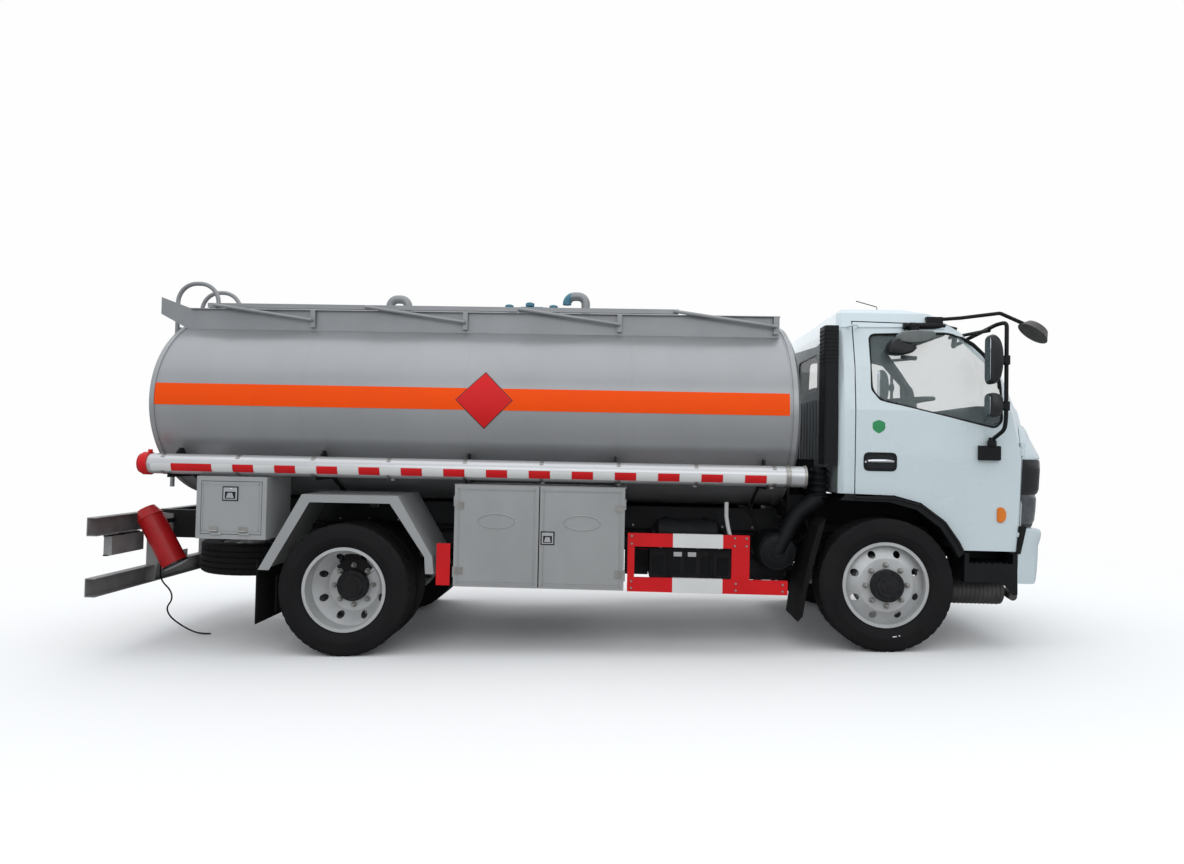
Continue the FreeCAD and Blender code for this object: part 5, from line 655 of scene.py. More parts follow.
def make_hose_tubes():
    """Marking tape, caps and clamps on the long tubes beside the tank."""
    for side, word in SIDES:
        y = side * TUBE_Y
        for colour, offset in (("white", 0), ("guard_red", 1)):
            shape = Shape()
            x = -5200
            index = 0
            while x < -740:
                long_run = TAPE * 1.95 if index == 1 else TAPE
                high = min(x + long_run, -712)
                if index % 2 == offset:
                    low_a, high_a = math.radians(-42), math.radians(4)
                    arc = (low_a, high_a) if side > 0 else (math.pi - high_a, math.pi - low_a)
                    shape.lathe("x", (0, y, TUBE_Z), [(x + 1, TUBE_R + 0.2), (x + 1, TUBE_R + 1.4),
                                                      (high - 1, TUBE_R + 1.4), (high - 1, TUBE_R + 0.2)], 8,
                                arc)
                x = high
                index += 1
            shape.done(f"tube_tape_{colour}_{word}", colour, "chassis")
        inner = 0 if side < 0 else 180            # the turn that looks at the tank
        grip = (math.radians(inner - 140), math.radians(inner + 140))
        clamps = Shape()
        for k in range(9):
            x = -5120 + 540 * k
            clamps.lathe("x", (x, y, TUBE_Z),
                         [(-13, TUBE_R), (-13, TUBE_R + 3), (13, TUBE_R + 3), (13, TUBE_R)], 40,
                         grip)
            clamps.box(x - 13, x + 13, y - side * 78 - 12, y - side * 78 + 12, TUBE_Z - 90, TUBE_Z - 40)
        clamps.done(f"tube_clamps_{word}", "steel", "chassis")
        cap = Shape()
        cap.lathe("x", (-5229, y, TUBE_Z), [(-70.5, 0.1), (-70.5, 68), (-71, 70), (-69.5, 70)], 40)
        cap.box(-5252, -5228, y - 10, y + 10, TUBE_Z + 70, TUBE_Z + 100)
        cap.done(f"tube_cap_{word}", "guard_red", "chassis")
        front = Shape()
        front.lathe("x", (-704, y, TUBE_Z), [(-16, 72), (-16, 81), (16, 81), (16, 72)], 40)
        front.lathe("x", (-592, y, TUBE_Z), [(0, 72), (0, 80), (14, 80), (14, 60), (20, 40), (20, 0.1)], 40)
        front.done(f"tube_joint_{word}", "steel", "chassis")


def make_walkway():
    """Gussets and post bolts on the walkway's sides, and treads on the tank's top."""
    gussets = Shape()
    for side in (-1, 1):
        for k in range(10):
            x = -5040 + k * 470
            gussets.prism("x", [(side * 636, 2395), (side * 636, 2300), (side * 590, 2300)], x - 3, x + 3)
    gussets.done("walkway_gussets", "walkway", "chassis")
    places = [(-720 - 1175 * k + dx, -666, z) for k in range(4) for dx in (-10, 10) for z in (2268, 2290)]
    discs("handrail_post_bolts", "steel", "chassis", "y", places, 6, 8, 6, smooth=False)
    tread = Shape()
    for side in (-1, 1):
        for k in range(30):
            x = -5080 + k * 145
            z = TANK_Z + TANK_B * math.sqrt(1 - (500 / TANK_A) ** 2)
            tread.box(x, x + 100, side * 500 - 60, side * 500 + 60, z - 3, z + 14)
    tread.done("walkway_treads", "walkway", "chassis", bevel=2)


LID_X, LID_TOP = -2630, 2475


def make_top():
    """The manhole's dome, bolts and clamps, and the two top valves with their pipes."""
    cx, top = LID_X, LID_TOP
    places = [(cx + 225 * c, 225 * s, top + 4) for c, s in around(10)]
    discs("manhole_bolts", "steel", "lid", "z", places, 11, 12, 6, smooth=False)
    lid = Shape()
    lid.lathe("z", (cx, 0, top), [(0, 175), (16, 170), (26, 120), (30, 90), (30, 0.1)], 40)
    lid.lathe("z", (cx, 0, top + 30), [(0, 62), (40, 62), (50, 56), (54, 0.1)], 28)
    for c, s in around(6, 0.5):
        lid.lathe("z", (cx + 212 * c, 212 * s, top - 6),
                  [(0, 15), (62, 15), (62, 36), (84, 36), (92, 20), (92, 0.1)], 18)
    lid.box(cx - 120, cx + 120, -16, 16, top + 60, top + 84)
    lid.sweep([(cx - 90, -70, top + 24), (cx - 90, -70, top + 70), (cx + 90, -70, top + 70),
               (cx + 90, -70, top + 24)], 8, 10)
    lid.done("manhole_dome", "lid", "lid")
    gear = Shape()
    for x, z, size in ((-2870, 2440, 46), (-2400, 2440, 46)):
        gear.lathe("z", (x, 175, z - 60), [(0, size), (60, size), (72, size + 12), (92, size + 12),
                                           (104, size - 8), (120, 0.1)], 28)
    gear.sweep([(-2870, 175, 2440), (-3050, 175, 2440), (-3200, 120, 2430), (-3700, 120, 2430)], 17, 10)
    gear.sweep([(-2400, 175, 2440), (-2280, 175, 2440), (-2180, 120, 2430), (-1500, 120, 2418)], 17, 10)
    gear.done("top_valves", "lid", "chassis")


# Boxes
BOX_FACE = -1150
DOORS_LOW, DOORS_HIGH, DOORS_SPLIT = -3020, -1832, -2428
DOORS_BOTTOM, DOORS_TOP = 398, 1105


def bars(shape, x0, x1, z0, z1, wide, proud):
    """Four bars along the edges of a rectangle on the boxes' outer face."""
    for a, b, c, d in ((x0, x1, z1 - wide, z1), (x0, x1, z0, z0 + wide), (x0, x0 + wide, z0, z1),
                       (x1 - wide, x1, z0, z1)):
        shape.box(a, b, BOX_FACE - proud, BOX_FACE + 1, c, d)
    return shape


def latch(tag, body, plate, cup, paddle, knob, cup_out, paddle_out):
    """A door's latch: gasket, plate, cup and paddle; the gasket's black border round the plate is partly
    painted shadow, and the black cup is painted shade in the recess. Plate and cup are (x low, x high, z low,
    z high).
    """
    x0, x1, z0, z1 = plate
    # The gasket stands out 5 mm round the plate in black: painted shadow round the proud plate.
    gasket = Shape().box(x0 - 5, x1 + 5, BOX_FACE - 2.5, BOX_FACE + 1, z0 - 5, z1 + 5)
    gasket.done(f"{tag}_latch_gasket_painted_shadow", "plastic", body)
    Shape().box(x0, x1, BOX_FACE - 5, BOX_FACE + 1, z0, z1).done(f"{tag}_latch_plate", "chrome", body,
                                                                 bevel=4)
    x0, x1, z0, z1 = cup
    # The cup is gloss black: painted shade in the recess behind the paddle.
    hollow = Shape().box(x0, x1, BOX_FACE - cup_out, BOX_FACE - 4, z0, z1)
    hollow.done(f"{tag}_latch_cup_painted_shade", "gloss", body, bevel=2)
    handle = Shape().prism("y", paddle, BOX_FACE - paddle_out, BOX_FACE - 6)
    handle.disc("y", (knob[0], BOX_FACE - 7, knob[1]), 9, 8, 18)
    handle.done(f"{tag}_latch_paddle", "chrome", body, bevel=2)


def make_boxes():
    for body, x0, x1, tag in (("rear_valve_door", DOORS_LOW, DOORS_SPLIT - 4, "rear"),
                              ("front_valve_door", DOORS_SPLIT + 4, DOORS_HIGH, "front")):
        trim = bars(Shape(), x0 + 22, x1 - 22, DOORS_BOTTOM + 22, DOORS_TOP - 22, 6, 2.5)
        middle = (x0 + x1) / 2
        trim.sweep([(middle + 128 * c, BOX_FACE + 0.5, 858 + 50 * s) for c, s in around(40)], 5, 8, True)
        trim.done(f"valve_door_{tag}_pressings", "box", body)
    for body, x0, x1, x, way in (("rear_valve_door", DOORS_LOW, DOORS_SPLIT, DOORS_LOW + 10, 1),
                                 ("front_valve_door", DOORS_SPLIT, DOORS_HIGH, DOORS_HIGH - 10, -1)):
        half = Shape()
        for z in (508, 962):
            low, high = sorted((x, x + way * 56))
            half.box(low, high, BOX_FACE - 4, BOX_FACE + 1, z - 26, z + 26)
            for dz in (-15, 15):
                for reach in (42, 20):
                    half.disc("y", (x + way * reach, BOX_FACE - 6, z + dz), 5, 5, 6)
        half.done(f"{body}_hinge_plates", "steel", body, bevel=1.5, smooth=False)
        groove = bars(Shape(), x0 + 34, x1 - 34, DOORS_BOTTOM + 34, DOORS_TOP - 34, 3, 0.8)
        groove.done(f"{body}_frame_shadow", "bar", body)
    latch("valve_door", "front_valve_door", (-2408, -2322, 706, 790), (-2396, -2334, 716, 764),
          [(-2388, 722), (-2342, 722), (-2350, 756), (-2380, 756)], (-2365, 776), 6.5, 11)
    rim = Shape()
    for x0, x1 in ((-3026, -3014), (-1838, -1826)):
        rim.box(x0, x1, -1128, -760, DOORS_TOP - 4, DOORS_TOP + 4)
    rim.box(-3030, -1822, -1128, -758, DOORS_TOP, DOORS_TOP + 5)
    rim.done("valve_box_lid_fold", "box", "chassis", bevel=1.5)
    valves = Shape()
    for x in (-2726, -2126):
        valves.lathe("y", (x, -960, 658), [(0, 46), (0, 60), (18, 60), (18, 50), (90, 50), (90, 66),
                                           (108, 66), (108, 48), (190, 48)], 28)
        valves.disc("z", (x, -900, 760), 62, 14, 24)
        valves.sweep([(x, -900, 700), (x, -900, 760)], 13, 10)
        for c, s in around(8):
            valves.disc("y", (x + 53 * c, -955, 658 + 53 * s), 5, 12, 6)
    valves.done("outlet_valves", "guard_red", "chassis")
    bars(Shape(), -4812, -4404, 745, 1078, 6, 2.5).done("locker_door_pressing", "box", "locker_flap")
    hinges = Shape()
    for x in (-4725, -4515):
        hinges.box(x - 30, x + 30, BOX_FACE - 4, BOX_FACE + 1, 742, 776)
        hinges.sweep([(x - 30, BOX_FACE - 5, 744), (x + 30, BOX_FACE - 5, 744)], 7, 10)
    hinges.done("locker_hinges", "steel", "locker_flap", bevel=1)
    latch("locker", "locker_flap", (-4664, -4560, 962, 1054), (-4650, -4574, 972, 1022),
          [(-4640, 978), (-4584, 978), (-4596, 1014), (-4628, 1014)], (-4612, 1038), 7, 12)


# Guards and rear
def make_guards():
    for side, word in SIDES:
        boxes(f"guard_white_sleeves_{word}", "white", "chassis",
              [(-1496, -1151, side * 1151.5, side * 1116.5, z0, z1)
               for z0, z1 in ((704.5, 798.5), (393.5, 493.5))], bevel=1)
        places = [(x, side * 1152, z) for xs, zs in (((-1780, -1070, -990), (725, 778)),
                                                     ((-1780, -1060, -740), (420, 466)))
                  for x in xs for z in zs]
        discs(f"guard_bolts_{word}", "steel", "chassis", "y", places, 8, 7, 6, smooth=False)
    tape = Shape()
    reds = Shape()
    for z0, z1 in ((700, 800), (269, 368)):
        for k in range(14):
            x = -1120 + k * 160
            (reds if k % 2 else tape).box(-5641.5, -5639, x, x + 158, z0, z1)
    tape.done("underrun_tape_white", "white", "chassis")
    reds.done("underrun_tape_red", "guard_red", "chassis")
    for side, word in SIDES:
        for tag, material, y0, y1 in (("tail", "tail", 690, 820), ("turn", "amber", 825, 952),
                                      ("reverse", "lamp", 568, 685)):
            lens = Shape().box(-5640, -5630, side * y0, side * y1, 534, 658)
            lens.done(f"rear_lamp_{tag}_{word}", material, "chassis", bevel=5)
        boxes(f"rear_lamp_rim_{word}", "plastic", "chassis",
              [(-5638, -5604, side * 556, side * 964, z, z + 10) for z in (520, 662)], bevel=2)
    Shape().box(-5641, -5636, -220, 220, 300, 440).done("rear_plate_blank", "white", "chassis", bevel=1)


# The cab's skin, read from the frame
LEAN_BACK = LEAN.inverted()
UNIT_LEAN = LEAN.to_3x3()


def tree_of(*names):
    verts, faces = [], []
    for node_name in names:
        mesh = NODES[node_name].data
        start = len(verts)
        verts += [v.co.copy() for v in mesh.vertices]
        faces += [tuple(start + i for i in p.vertices) for p in mesh.polygons]
    return BVHTree.FromPolygons(verts, faces)


CAB_SKIN = tree_of("cab_shell", "door_right", "door_left", "door_glass_right", "door_glass_left", "cab_glass",
                   "grille_and_lamps")


def hit(start, way, back=None):
    """Where a ray meets the cab, all in the chassis frame in millimetres."""
    origin = LEAN @ (Vector(start) * MM)
    found = CAB_SKIN.ray_cast(origin, UNIT_LEAN @ Vector(way))
    if found[0] is None:
        return Vector(back or start)
    return (LEAN_BACK @ found[0]) / MM


def side_at(x, z, side):
    """The cab's side at that place: y of the outermost skin."""
    return hit((x, side * 1600, z), (0, -side, 0), back=(x, side * 1010, z)).y


SHEET = 1.5


def skin_patch(name, rows, proud, material, body):
    """A sheet over a grid of points with their outward ways: rows of (point, way)."""
    pairs = [(point + way * (proud - SHEET), point + way * proud) for row in rows for point, way in row]
    return sheet(pairs, len(rows[0])).done(name, material, body)


ROUND_X = 560                 # the point inside the cab that turns on the nose are measured about
NOSE_REACH, FAR = 560, 1500   # from that point to about the skin, and to well outside it
LAMP_INNER, LAMP_OUTER = 46, 69   # the turns in degrees between which the headlamps lie


def nose_at(turn, z):
    """The nose's skin and its outward way at a turn in degrees and a height."""
    angle = math.radians(turn)
    way = Vector((math.cos(angle), math.sin(angle), 0))
    middle = Vector((ROUND_X, 0, z))
    return hit(middle + way * FAR, -way, back=middle + way * NOSE_REACH), way


def round_patch(name, turn_low, turn_high, z_low, z_high, proud, material, body, steps=16, rises=4):
    """A sheet wrapped round the cab's nose, between two turns."""
    rows = [[nose_at(turn_low + (turn_high - turn_low) * k / steps, z_low + (z_high - z_low) * i / rises)
             for k in range(steps + 1)] for i in range(rises + 1)]
    return skin_patch(name, rows, proud, material, body)


def bulge(name, turn_low, turn_high, levels, material, body, steps=16, fade=True):
    """A closed form that stands forward of the nose by an amount for each height, between two turns."""
    pairs = []
    for z, push in levels:
        for k in range(steps + 1):
            turn = turn_low + (turn_high - turn_low) * k / steps
            spot, way = nose_at(turn, z)
            share = max(0, min(1, (LAMP_OUTER - abs(turn)) / 7)) if fade else 1
            share = math.sin(share * math.pi / 2)
            pairs.append((spot - way * 3, spot + Vector((push * share, 0, 0)) + way))
    return sheet(pairs, steps + 1).done(name, material, body)


def side_patch(name, corners, proud, material, body, side, steps=8):
    """A four-cornered sheet on the cab's side. Corners (x, z): rear low, front low, front high, rear high."""
    a, b, c, d = (Vector(p) for p in corners)
    rows = []
    for i in range(steps + 1):
        spots = [a.lerp(b, k / steps).lerp(d.lerp(c, k / steps), i / steps) for k in range(steps + 1)]
        rows.append([(Vector((x, side_at(x, z, side), z)), Vector((0, side, 0))) for x, z in spots])
    return skin_patch(name, rows, proud, material, body)


def side_line(shape, points, side, radius, lift):
    """A round bead along a line on the cab's side."""
    step, path = 40, []
    for (x0, z0), (x1, z1) in zip(points, points[1:]):
        count = max(1, round(math.hypot(x1 - x0, z1 - z0) / step))
        for k in range(count):
            u = k / count
            path.append((x0 + (x1 - x0) * u, z0 + (z1 - z0) * u))
    path.append(points[-1])
    shape.sweep([(x, side_at(x, z, side) + side * lift, z) for x, z in path], radius, 8)


CAB_NOSE, CAB_TOP = 1105, 2440
WINDOW = [(-0.1, 0.918), (-0.1, 0.7513), (-0.045, 0.7205), (0.683, 0.6447), (0.724, 0.664), (0.722, 0.78),
          (0.68, 0.8566), (0.583, 0.9029), (0.403, 0.9254)]


def rounded(points, radius, steps=4):
    """The closed outline with its corners rounded."""
    result = []
    count = len(points)
    for i in range(count):
        p = Vector(points[i])
        before, after = Vector(points[i - 1]), Vector(points[(i + 1) % count])
        r = min(radius, (before - p).length * 0.45, (after - p).length * 0.45)
        a = p + (before - p).normalized() * r
        b = p + (after - p).normalized() * r
        for k in range(steps + 1):
            u = k / steps
            result.append(tuple(a.lerp(p, u).lerp(p.lerp(b, u), u)))
    return result


def centre_of(outline):
    """The mean of an outline's points."""
    return sum(p[0] for p in outline) / len(outline), sum(p[1] for p in outline) / len(outline)


def rounded_box(a0, a1, b0, b1, radius, steps=4):
    return rounded([(a0, b0), (a1, b0), (a1, b1), (a0, b1)], radius, steps)


HANDLE, INDICATOR, STICKER = (-45, 1325), (795, 971), (-57, 1573)     # x and z on the door


def oblong(half_x, half_z):
    return [(-half_x, -half_z), (half_x, -half_z), (half_x, half_z), (-half_x, half_z)]


def on_door(name, material, side, place, outline, radius, back, front, **how):
    """A flat piece on a door: an outline about a place, between two distances out from the skin."""
    x, z = place
    y = side_at(x, z, side)
    corners = rounded([(x + a, z + b) for a, b in outline], radius)
    piece = Shape().prism("y", corners, y + side * back, y + side * front)
    piece.done(name, material, f"{dict(SIDES)[side]}_door", **how)


def make_cab_trim():
    for side, word in SIDES:
        door = f"{word}_door"
        outline = rounded([(CAB_NOSE * a, CAB_TOP * b) for a, b in WINDOW], 45)
        middle = centre_of(outline)
        seal = Shape()
        points = []
        for x, z in outline:
            inner_x = x + (middle[0] - x) * 0.012
            inner_z = z + (middle[1] - z) * 0.012
            points.append((inner_x, side_at(x + (middle[0] - x) * 0.05, z + (middle[1] - z) * 0.05,
                                            side) + side * 3, inner_z))
        seal.sweep(points, 8, 8, True)
        front = [p for p in points if p[0] > 560 and p[2] > 1700]
        seal.sweep([(p[0] - 6, p[1], p[2] - 4) for p in front], 14, 8)
        seal.done(f"window_seal_{word}", "plastic", door)
        # Door handle: a dark dish with a bright bar
        x, z = HANDLE
        y = side_at(x, z, side)
        on_door(f"handle_dish_{word}", "plastic", side, HANDLE, oblong(116, 66), 40, -3, 6, bevel=3)
        on_door(f"handle_hollow_{word}", "gloss", side, HANDLE, oblong(96, 46), 34, 4, 7)
        bar = Shape().sweep([(x + dx, y + side * out, z + up) for dx, out, up in
                             ((-88, 10, 4), (-60, 22, 6), (0, 26, 7), (60, 22, 6), (88, 10, 4))],
                            [9, 12, 13, 12, 9], 12)
        bar.done(f"handle_bar_{word}", "chrome", door)
        lock = Shape().disc("y", (x - 104, y + side * 7, z - 2), 7, 5, 16)
        lock.done(f"handle_lock_{word}", "chrome", door)
        on_door(f"side_indicator_{word}", "amber", side, INDICATOR,
                [(-30, -50), (8, -56), (32, -24), (32, 24), (8, 56), (-30, 50)], 20, -2, 12, bevel=5)
        on_door(f"door_sticker_{word}", "green", side, STICKER,
                [(-44, 30), (-44, -20), (0, -52), (44, -20), (44, 30), (0, 48)], 14, -0.5, 0.8)
        # Roof gutter
        gutter = Shape()
        side_line(gutter, [(-300, 2290), (150, 2296), (430, 2288)], side, 8, 2)
        gutter.done(f"roof_gutter_{word}", "cab", "cab")
        # Rear quarter panel behind the door
        side_patch(f"pillar_trim_{word}", ((-322, 1150), (-255, 1150), (-255, 2240), (-322, 2240)), 1.2,
                   "cab", "cab", side, 6)
        if side < 0:
            fins = Shape()
            for k in range(9):
                z = 2022 + k * 28
                fins.box(-428, -342, side * 1004 - 5, side * 1004 + 5, z, z + 12)
                fins.box(-442, -436, side * 860, side * 1000, z, z + 12)
            fins.box(-426, -344, side * 1004 - 3, side * 1004 + 3, 1560, 1980)
            fins.box(-426, -344, side * 1004 - 3, side * 1004 + 3, 1330, 1530)
            fins.done("intake_louvres", "plastic", "cab", bevel=2)
        boxes(f"step_treads_{word}", "plastic", "chassis",
              [(x, x + 20, side * 775, side * 1008, 629, 637) for x in range(590, 831, 40)], bevel=2)
        flare = Shape()
        low_arc = [(-0.50, 2.31), (0.125, 2.30), (0.50, 2.21), (0.84, 1.96), (1.03, 1.69), (1.10, 1.56)]
        side_points = [(TYRE_R * a, side * 1060, TYRE_R * b) for a, b in low_arc]
        flare.sweep(side_points, 7, 8)
        flare.done(f"flare_bead_{word}", "plastic", "cab")


def make_cab_front():
    for side, word in SIDES:
        low, high = sorted((side * LAMP_INNER, side * LAMP_OUTER))
        bulge(f"headlamp_hood_{word}", low, high, [(1112, 52), (1124, 66), (1150, 76), (1290, 80), (1350, 75),
                                                   (1362, 66)], "gloss", "cab")
        bulge(f"headlamp_lens_{word}", low, high, [(905, 40), (930, 52), (1000, 58), (1080, 60), (1112, 52)],
              "smoke", "cab")
        inner, outer = sorted((side * 52, side * 57))
        bulge(f"headlamp_strip_{word}", inner, outer, [(930, 50), (936, 59), (1070, 64), (1076, 54)], "lamp",
              "cab", 4)
        seam = Shape().prism("y", [(898, 704), (926, 704), (964, 880), (964, 896), (926, 896)], side * 996,
                             side * 1028.5)
        seam.done(f"corner_seam_{word}", "plastic", "cab", bevel=2)
        bulge(f"headlamp_rim_{word}", low, high, [(878, 30), (893, 38), (905, 42)], "gloss", "cab")
    bulge("nose_panel", -68, 68, [(1362, 64), (1372, 74), (1410, 71), (1490, 58), (1560, 40), (1596, 20),
                                  (1606, 2)], "cab", "cab", 40)
    bulge("grille_face", -LAMP_INNER, LAMP_INNER, [(905, 30), (925, 48), (1290, 62), (1362, 60)], "gloss",
          "cab", 24, False)
    for z in (960, 1030, 1100, 1170, 1240):
        bulge(f"grille_slat_{z}", -44, 44, [(z, 50), (z + 3, 66), (z + 15, 66), (z + 18, 50)], "plastic",
              "cab", 24, False)
    bulge("grille_bright_strip", -LAMP_INNER, LAMP_INNER, [(1300, 60), (1303, 69), (1318, 69), (1321, 60)],
          "chrome", "cab", 24, False)
    round_patch("front_cowl", -58, 58, 1612, 1668, 1.5, "gloss", "cab", 30, 2)
    for y0, y1 in ((-700, -80), (-40, 600)):
        wiper = Shape()
        arm = []
        for k in range(8):
            u = k / 7
            y, z = y0 + (y1 - y0) * u, 1690 + 70 * math.sin(u * 2.4)
            spot = hit((1800, y, z), (-1, 0, 0), back=(1000, y, z))
            arm.append((spot.x + 14, y, z))
        wiper.sweep(arm, 6, 8)
        blade = [(p[0] - 6, p[1], p[2] + 14) for p in arm[2:]]
        wiper.sweep(blade, 5, 6)
        wiper.done(f"wiper_{'right' if y0 < -100 else 'left'}", "plastic", "cab")
    Shape().box(1094, 1108, -220, 220, 556, 676).done("front_plate_blank", "white", "chassis", bevel=1)
    for side, word in SIDES:
        fog = Shape().lathe("x", (1066, side * 800, 712), [(0, 44), (6, 44), (9, 40), (9, 36), (5, 34),
                                                           (3, 0.1)], 28)
        fog.done(f"fog_lamp_{word}", "lamp", "chassis")
    antenna = Shape()
    spot = hit((52, -600, 3000), (0, 0, -1), back=(52, -600, 2440))
    antenna.disc("z", (spot.x, spot.y, spot.z + 6), 18, 16, 16)
    antenna.sweep([(spot.x, spot.y, spot.z + 10), (spot.x - 6, spot.y, 2494), (spot.x - 160, spot.y, 2536)],
                  3.5, 8)
    antenna.done("roof_antenna", "plastic", "cab")
    bumper_cover()


BUMPER_HALF = [(908, 1022), (960, 1021), (1002, 1017), (1030, 996), (1045, 955), (1049, 948), (1051, 930),
               (1055, 850), (1058, 760), (1060, 640), (1061, 625), (1066, 500), (1072, 380), (1078, 200),
               (1080, 0)]
BUMPER_LEVELS = [(496, 2), (504, 8), (530, 16), (600, 23), (650, 26), (658, 27), (764, 30), (772, 33),
                 (805, 44), (840, 50), (862, 48), (875, 38), (879, 14)]

CORNER_X, CORNER_RUN = 908, 94                   # where the bumper's corner starts and how far it runs
LEAN_FROM, LEAN_RISE, LEAN_OUT = 640, 239, 45    # above this height the corner's rear edge leans forward


def bumper_cover():
    """The painted bumper skin: it leans forward towards its top and has a recess for each fog lamp."""
    half = [(x, y, min(1, (x - CORNER_X) / CORNER_RUN)) for x, y in BUMPER_HALF]
    plan = half + [(x, -y, share) for x, y, share in half[-2::-1]]
    cover = Shape()
    verts, faces = [], []
    for z, push in BUMPER_LEVELS:
        slant = max(0, z - LEAN_FROM) / LEAN_RISE * LEAN_OUT
        for x, y, share in plan:
            forward = 4 if 655 < z < 768 and 630 < abs(y) < 950 else push
            verts.append((x + slant * (1 - share) + forward * share, y, z))
        for x, y, share in plan:
            verts.append((x - 40 * share + slant * (1 - share), y * 0.955, z))
    count = len(plan)
    for i in range(len(BUMPER_LEVELS) - 1):
        for k in range(count - 1):
            for start in (0, count):
                a, b = i * 2 * count + start + k, (i + 1) * 2 * count + start + k
                faces.append((a, a + 1, b + 1, b))
        for k in (0, count - 1):
            a, b = i * 2 * count + k, (i + 1) * 2 * count + k
            faces.append((a, b, b + count, a + count))
    for i in (0, len(BUMPER_LEVELS) - 1):
        for k in range(count - 1):
            a = i * 2 * count + k
            faces.append((a, a + 1, a + count + 1, a + count))
    cover.add(verts, faces)
    cover.done("bumper_cover", "bumper", "chassis")
    for side, word in SIDES:
        recess = Shape().prism("x", rounded_box(side * 642, side * 936, 662, 760, 30), 1058, 1067)
        recess.done(f"fog_recess_{word}", "gloss", "chassis", bevel=2)


def bend(points, radius):
    """An open path with its inner corners rounded."""
    points = [Vector(p) for p in points]
    path = [points[0]]
    for before, corner, after in zip(points, points[1:], points[2:]):
        reach = min(radius, (before - corner).length * 0.45, (after - corner).length * 0.45)
        a = corner + (before - corner).normalized() * reach
        b = corner + (after - corner).normalized() * reach
        for k in range(6):
            u = k / 5
            path.append(a.lerp(corner, u).lerp(corner.lerp(b, u), u))
    path.append(points[-1])
    return path


def pillow(shape, outline, middle, half):
    """A housing with rounded faces: the outline in x and z, shrunk towards its two faces along y."""
    cx, cz = centre_of(outline)
    rows = [(-half, 0.80), (-half * 0.86, 0.93), (-half * 0.5, 1.0), (half * 0.5, 1.0), (half * 0.86, 0.93),
            (half, 0.80)]
    verts = [(cx + (x - cx) * size, middle + y, cz + (z - cz) * size) for y, size in rows for x, z in outline]
    count = len(outline)
    faces = [tuple(range(count))[::-1], tuple((len(rows) - 1) * count + k for k in range(count))]
    for i in range(len(rows) - 1):
        faces += [(i * count + k, i * count + (k + 1) % count, (i + 1) * count + (k + 1) % count,
                   (i + 1) * count + k) for k in range(count)]
    return shape.add(verts, faces)


MIRROR_Y = 1180
UPPER_HEAD = [(624, 1876), (622, 2196), (640, 2209), (668, 2202), (692, 2168), (706, 2110), (710, 2050),
              (706, 1970), (694, 1908), (670, 1876), (646, 1868)]
LOWER_HEAD = [(624, 1646), (622, 1800), (640, 1810), (676, 1808), (704, 1790), (710, 1760), (708, 1690),
              (696, 1652), (664, 1638), (640, 1638)]


def make_mirrors():
    for side, word in SIDES:
        door = f"{word}_door"
        middle = side * MIRROR_Y
        arm = Shape()
        root = (700, side_at(700, 2232, side) + side * 2, 2232)
        arm.sweep(bend([(712, side * 1050, 1452), (716, side * 1060, 1500), (742, side * 1172, 1560),
                        (748, middle, 1640), (748, middle, 2296), (712, side * 1110, 2290), root], 46), 14,
                  14)
        arm.box(628, 774, side * 1020 - 22 * (side < 0), side * 1020 + 22 * (side > 0), 1350, 1452)
        arm.box(630, 772, side * 1041 - 20 * (side < 0), side * 1041 + 20 * (side > 0), 1352, 1450)
        arm.lathe("z", (712, side * 1052, 1450), [(0, 0.1), (0, 30), (34, 30), (40, 24), (60, 22), (60, 0.1)],
                  20)
        arm.sweep([root, (640, side_at(640, 2262, side) + side * 2, 2262)], 20, 10)
        for z in (2036, 1723):
            arm.disc("z", (748, middle, z), 24, 62, 20)
            arm.box(700, 748, middle - 20, middle + 20, z - 20, z + 20)
        arm.done(f"mirror_arm_{word}", "plastic", door, bevel=1.2)
        heads = Shape()
        for outline in (UPPER_HEAD, LOWER_HEAD):
            pillow(heads, rounded(outline, 22, 3), middle, 56)
        heads = heads.done(f"mirror_heads_{word}", "shell", door)
        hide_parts(f"mirror_{word}")
        for tag, z0, z1 in (("upper", 1890, 2190), ("lower", 1656, 1794)):
            face = Shape().prism("x", rounded_box(middle - 44, middle + 44, z0, z1, 26), 620.5, 623)
            face.done(f"mirror_face_{tag}_{word}", "mirror", door)


def make_kerb_mirror():
    """The mirror over the right door's window, on its bar along the door frame."""
    bar = Shape()
    lift = -14
    path = [(252, 2305), (382, 2306), (542, 2300), (640, 2286), (700, 2262)]
    bar.sweep([(x, side_at(x, z, -1) + lift, z) for x, z in path], [20, 20, 12, 12, 14], 12)
    bar.sweep([(x, side_at(x, z, -1) + lift, z) for x, z in ((236, 2304), (372, 2306))], 23, 14)
    y = side_at(182, 2290, -1)
    bar.disc("x", (204, y - 22, 2302), 25, 44, 20)
    bar.disc("x", (154, y - 22, 2300), 25, 34, 20)
    bar.box(172, 232, y - 74, y - 20, 2226, 2296)
    bar.done("kerb_mirror_bar", "plastic", "right_door", bevel=2)
    case = Shape()
    pillow(case, rounded([(60, 2168), (62, 2214), (92, 2246), (182, 2258), (328, 2252), (334, 2196),
                          (250, 2168), (150, 2158)], 26, 3), y - 92, 56)
    # The case's mid grey is painted sheen of the sky.
    case.done("kerb_mirror_case", "case", "right_door")
    face = Shape()
    pillow(face, rounded([(-6, 2086), (0, 2140), (28, 2190), (66, 2206), (84, 2170), (140, 2158), (206, 2136),
                          (170, 2096), (84, 2078)], 22, 3), y - 92, 62)
    face.done("kerb_mirror_head", "shell", "right_door")


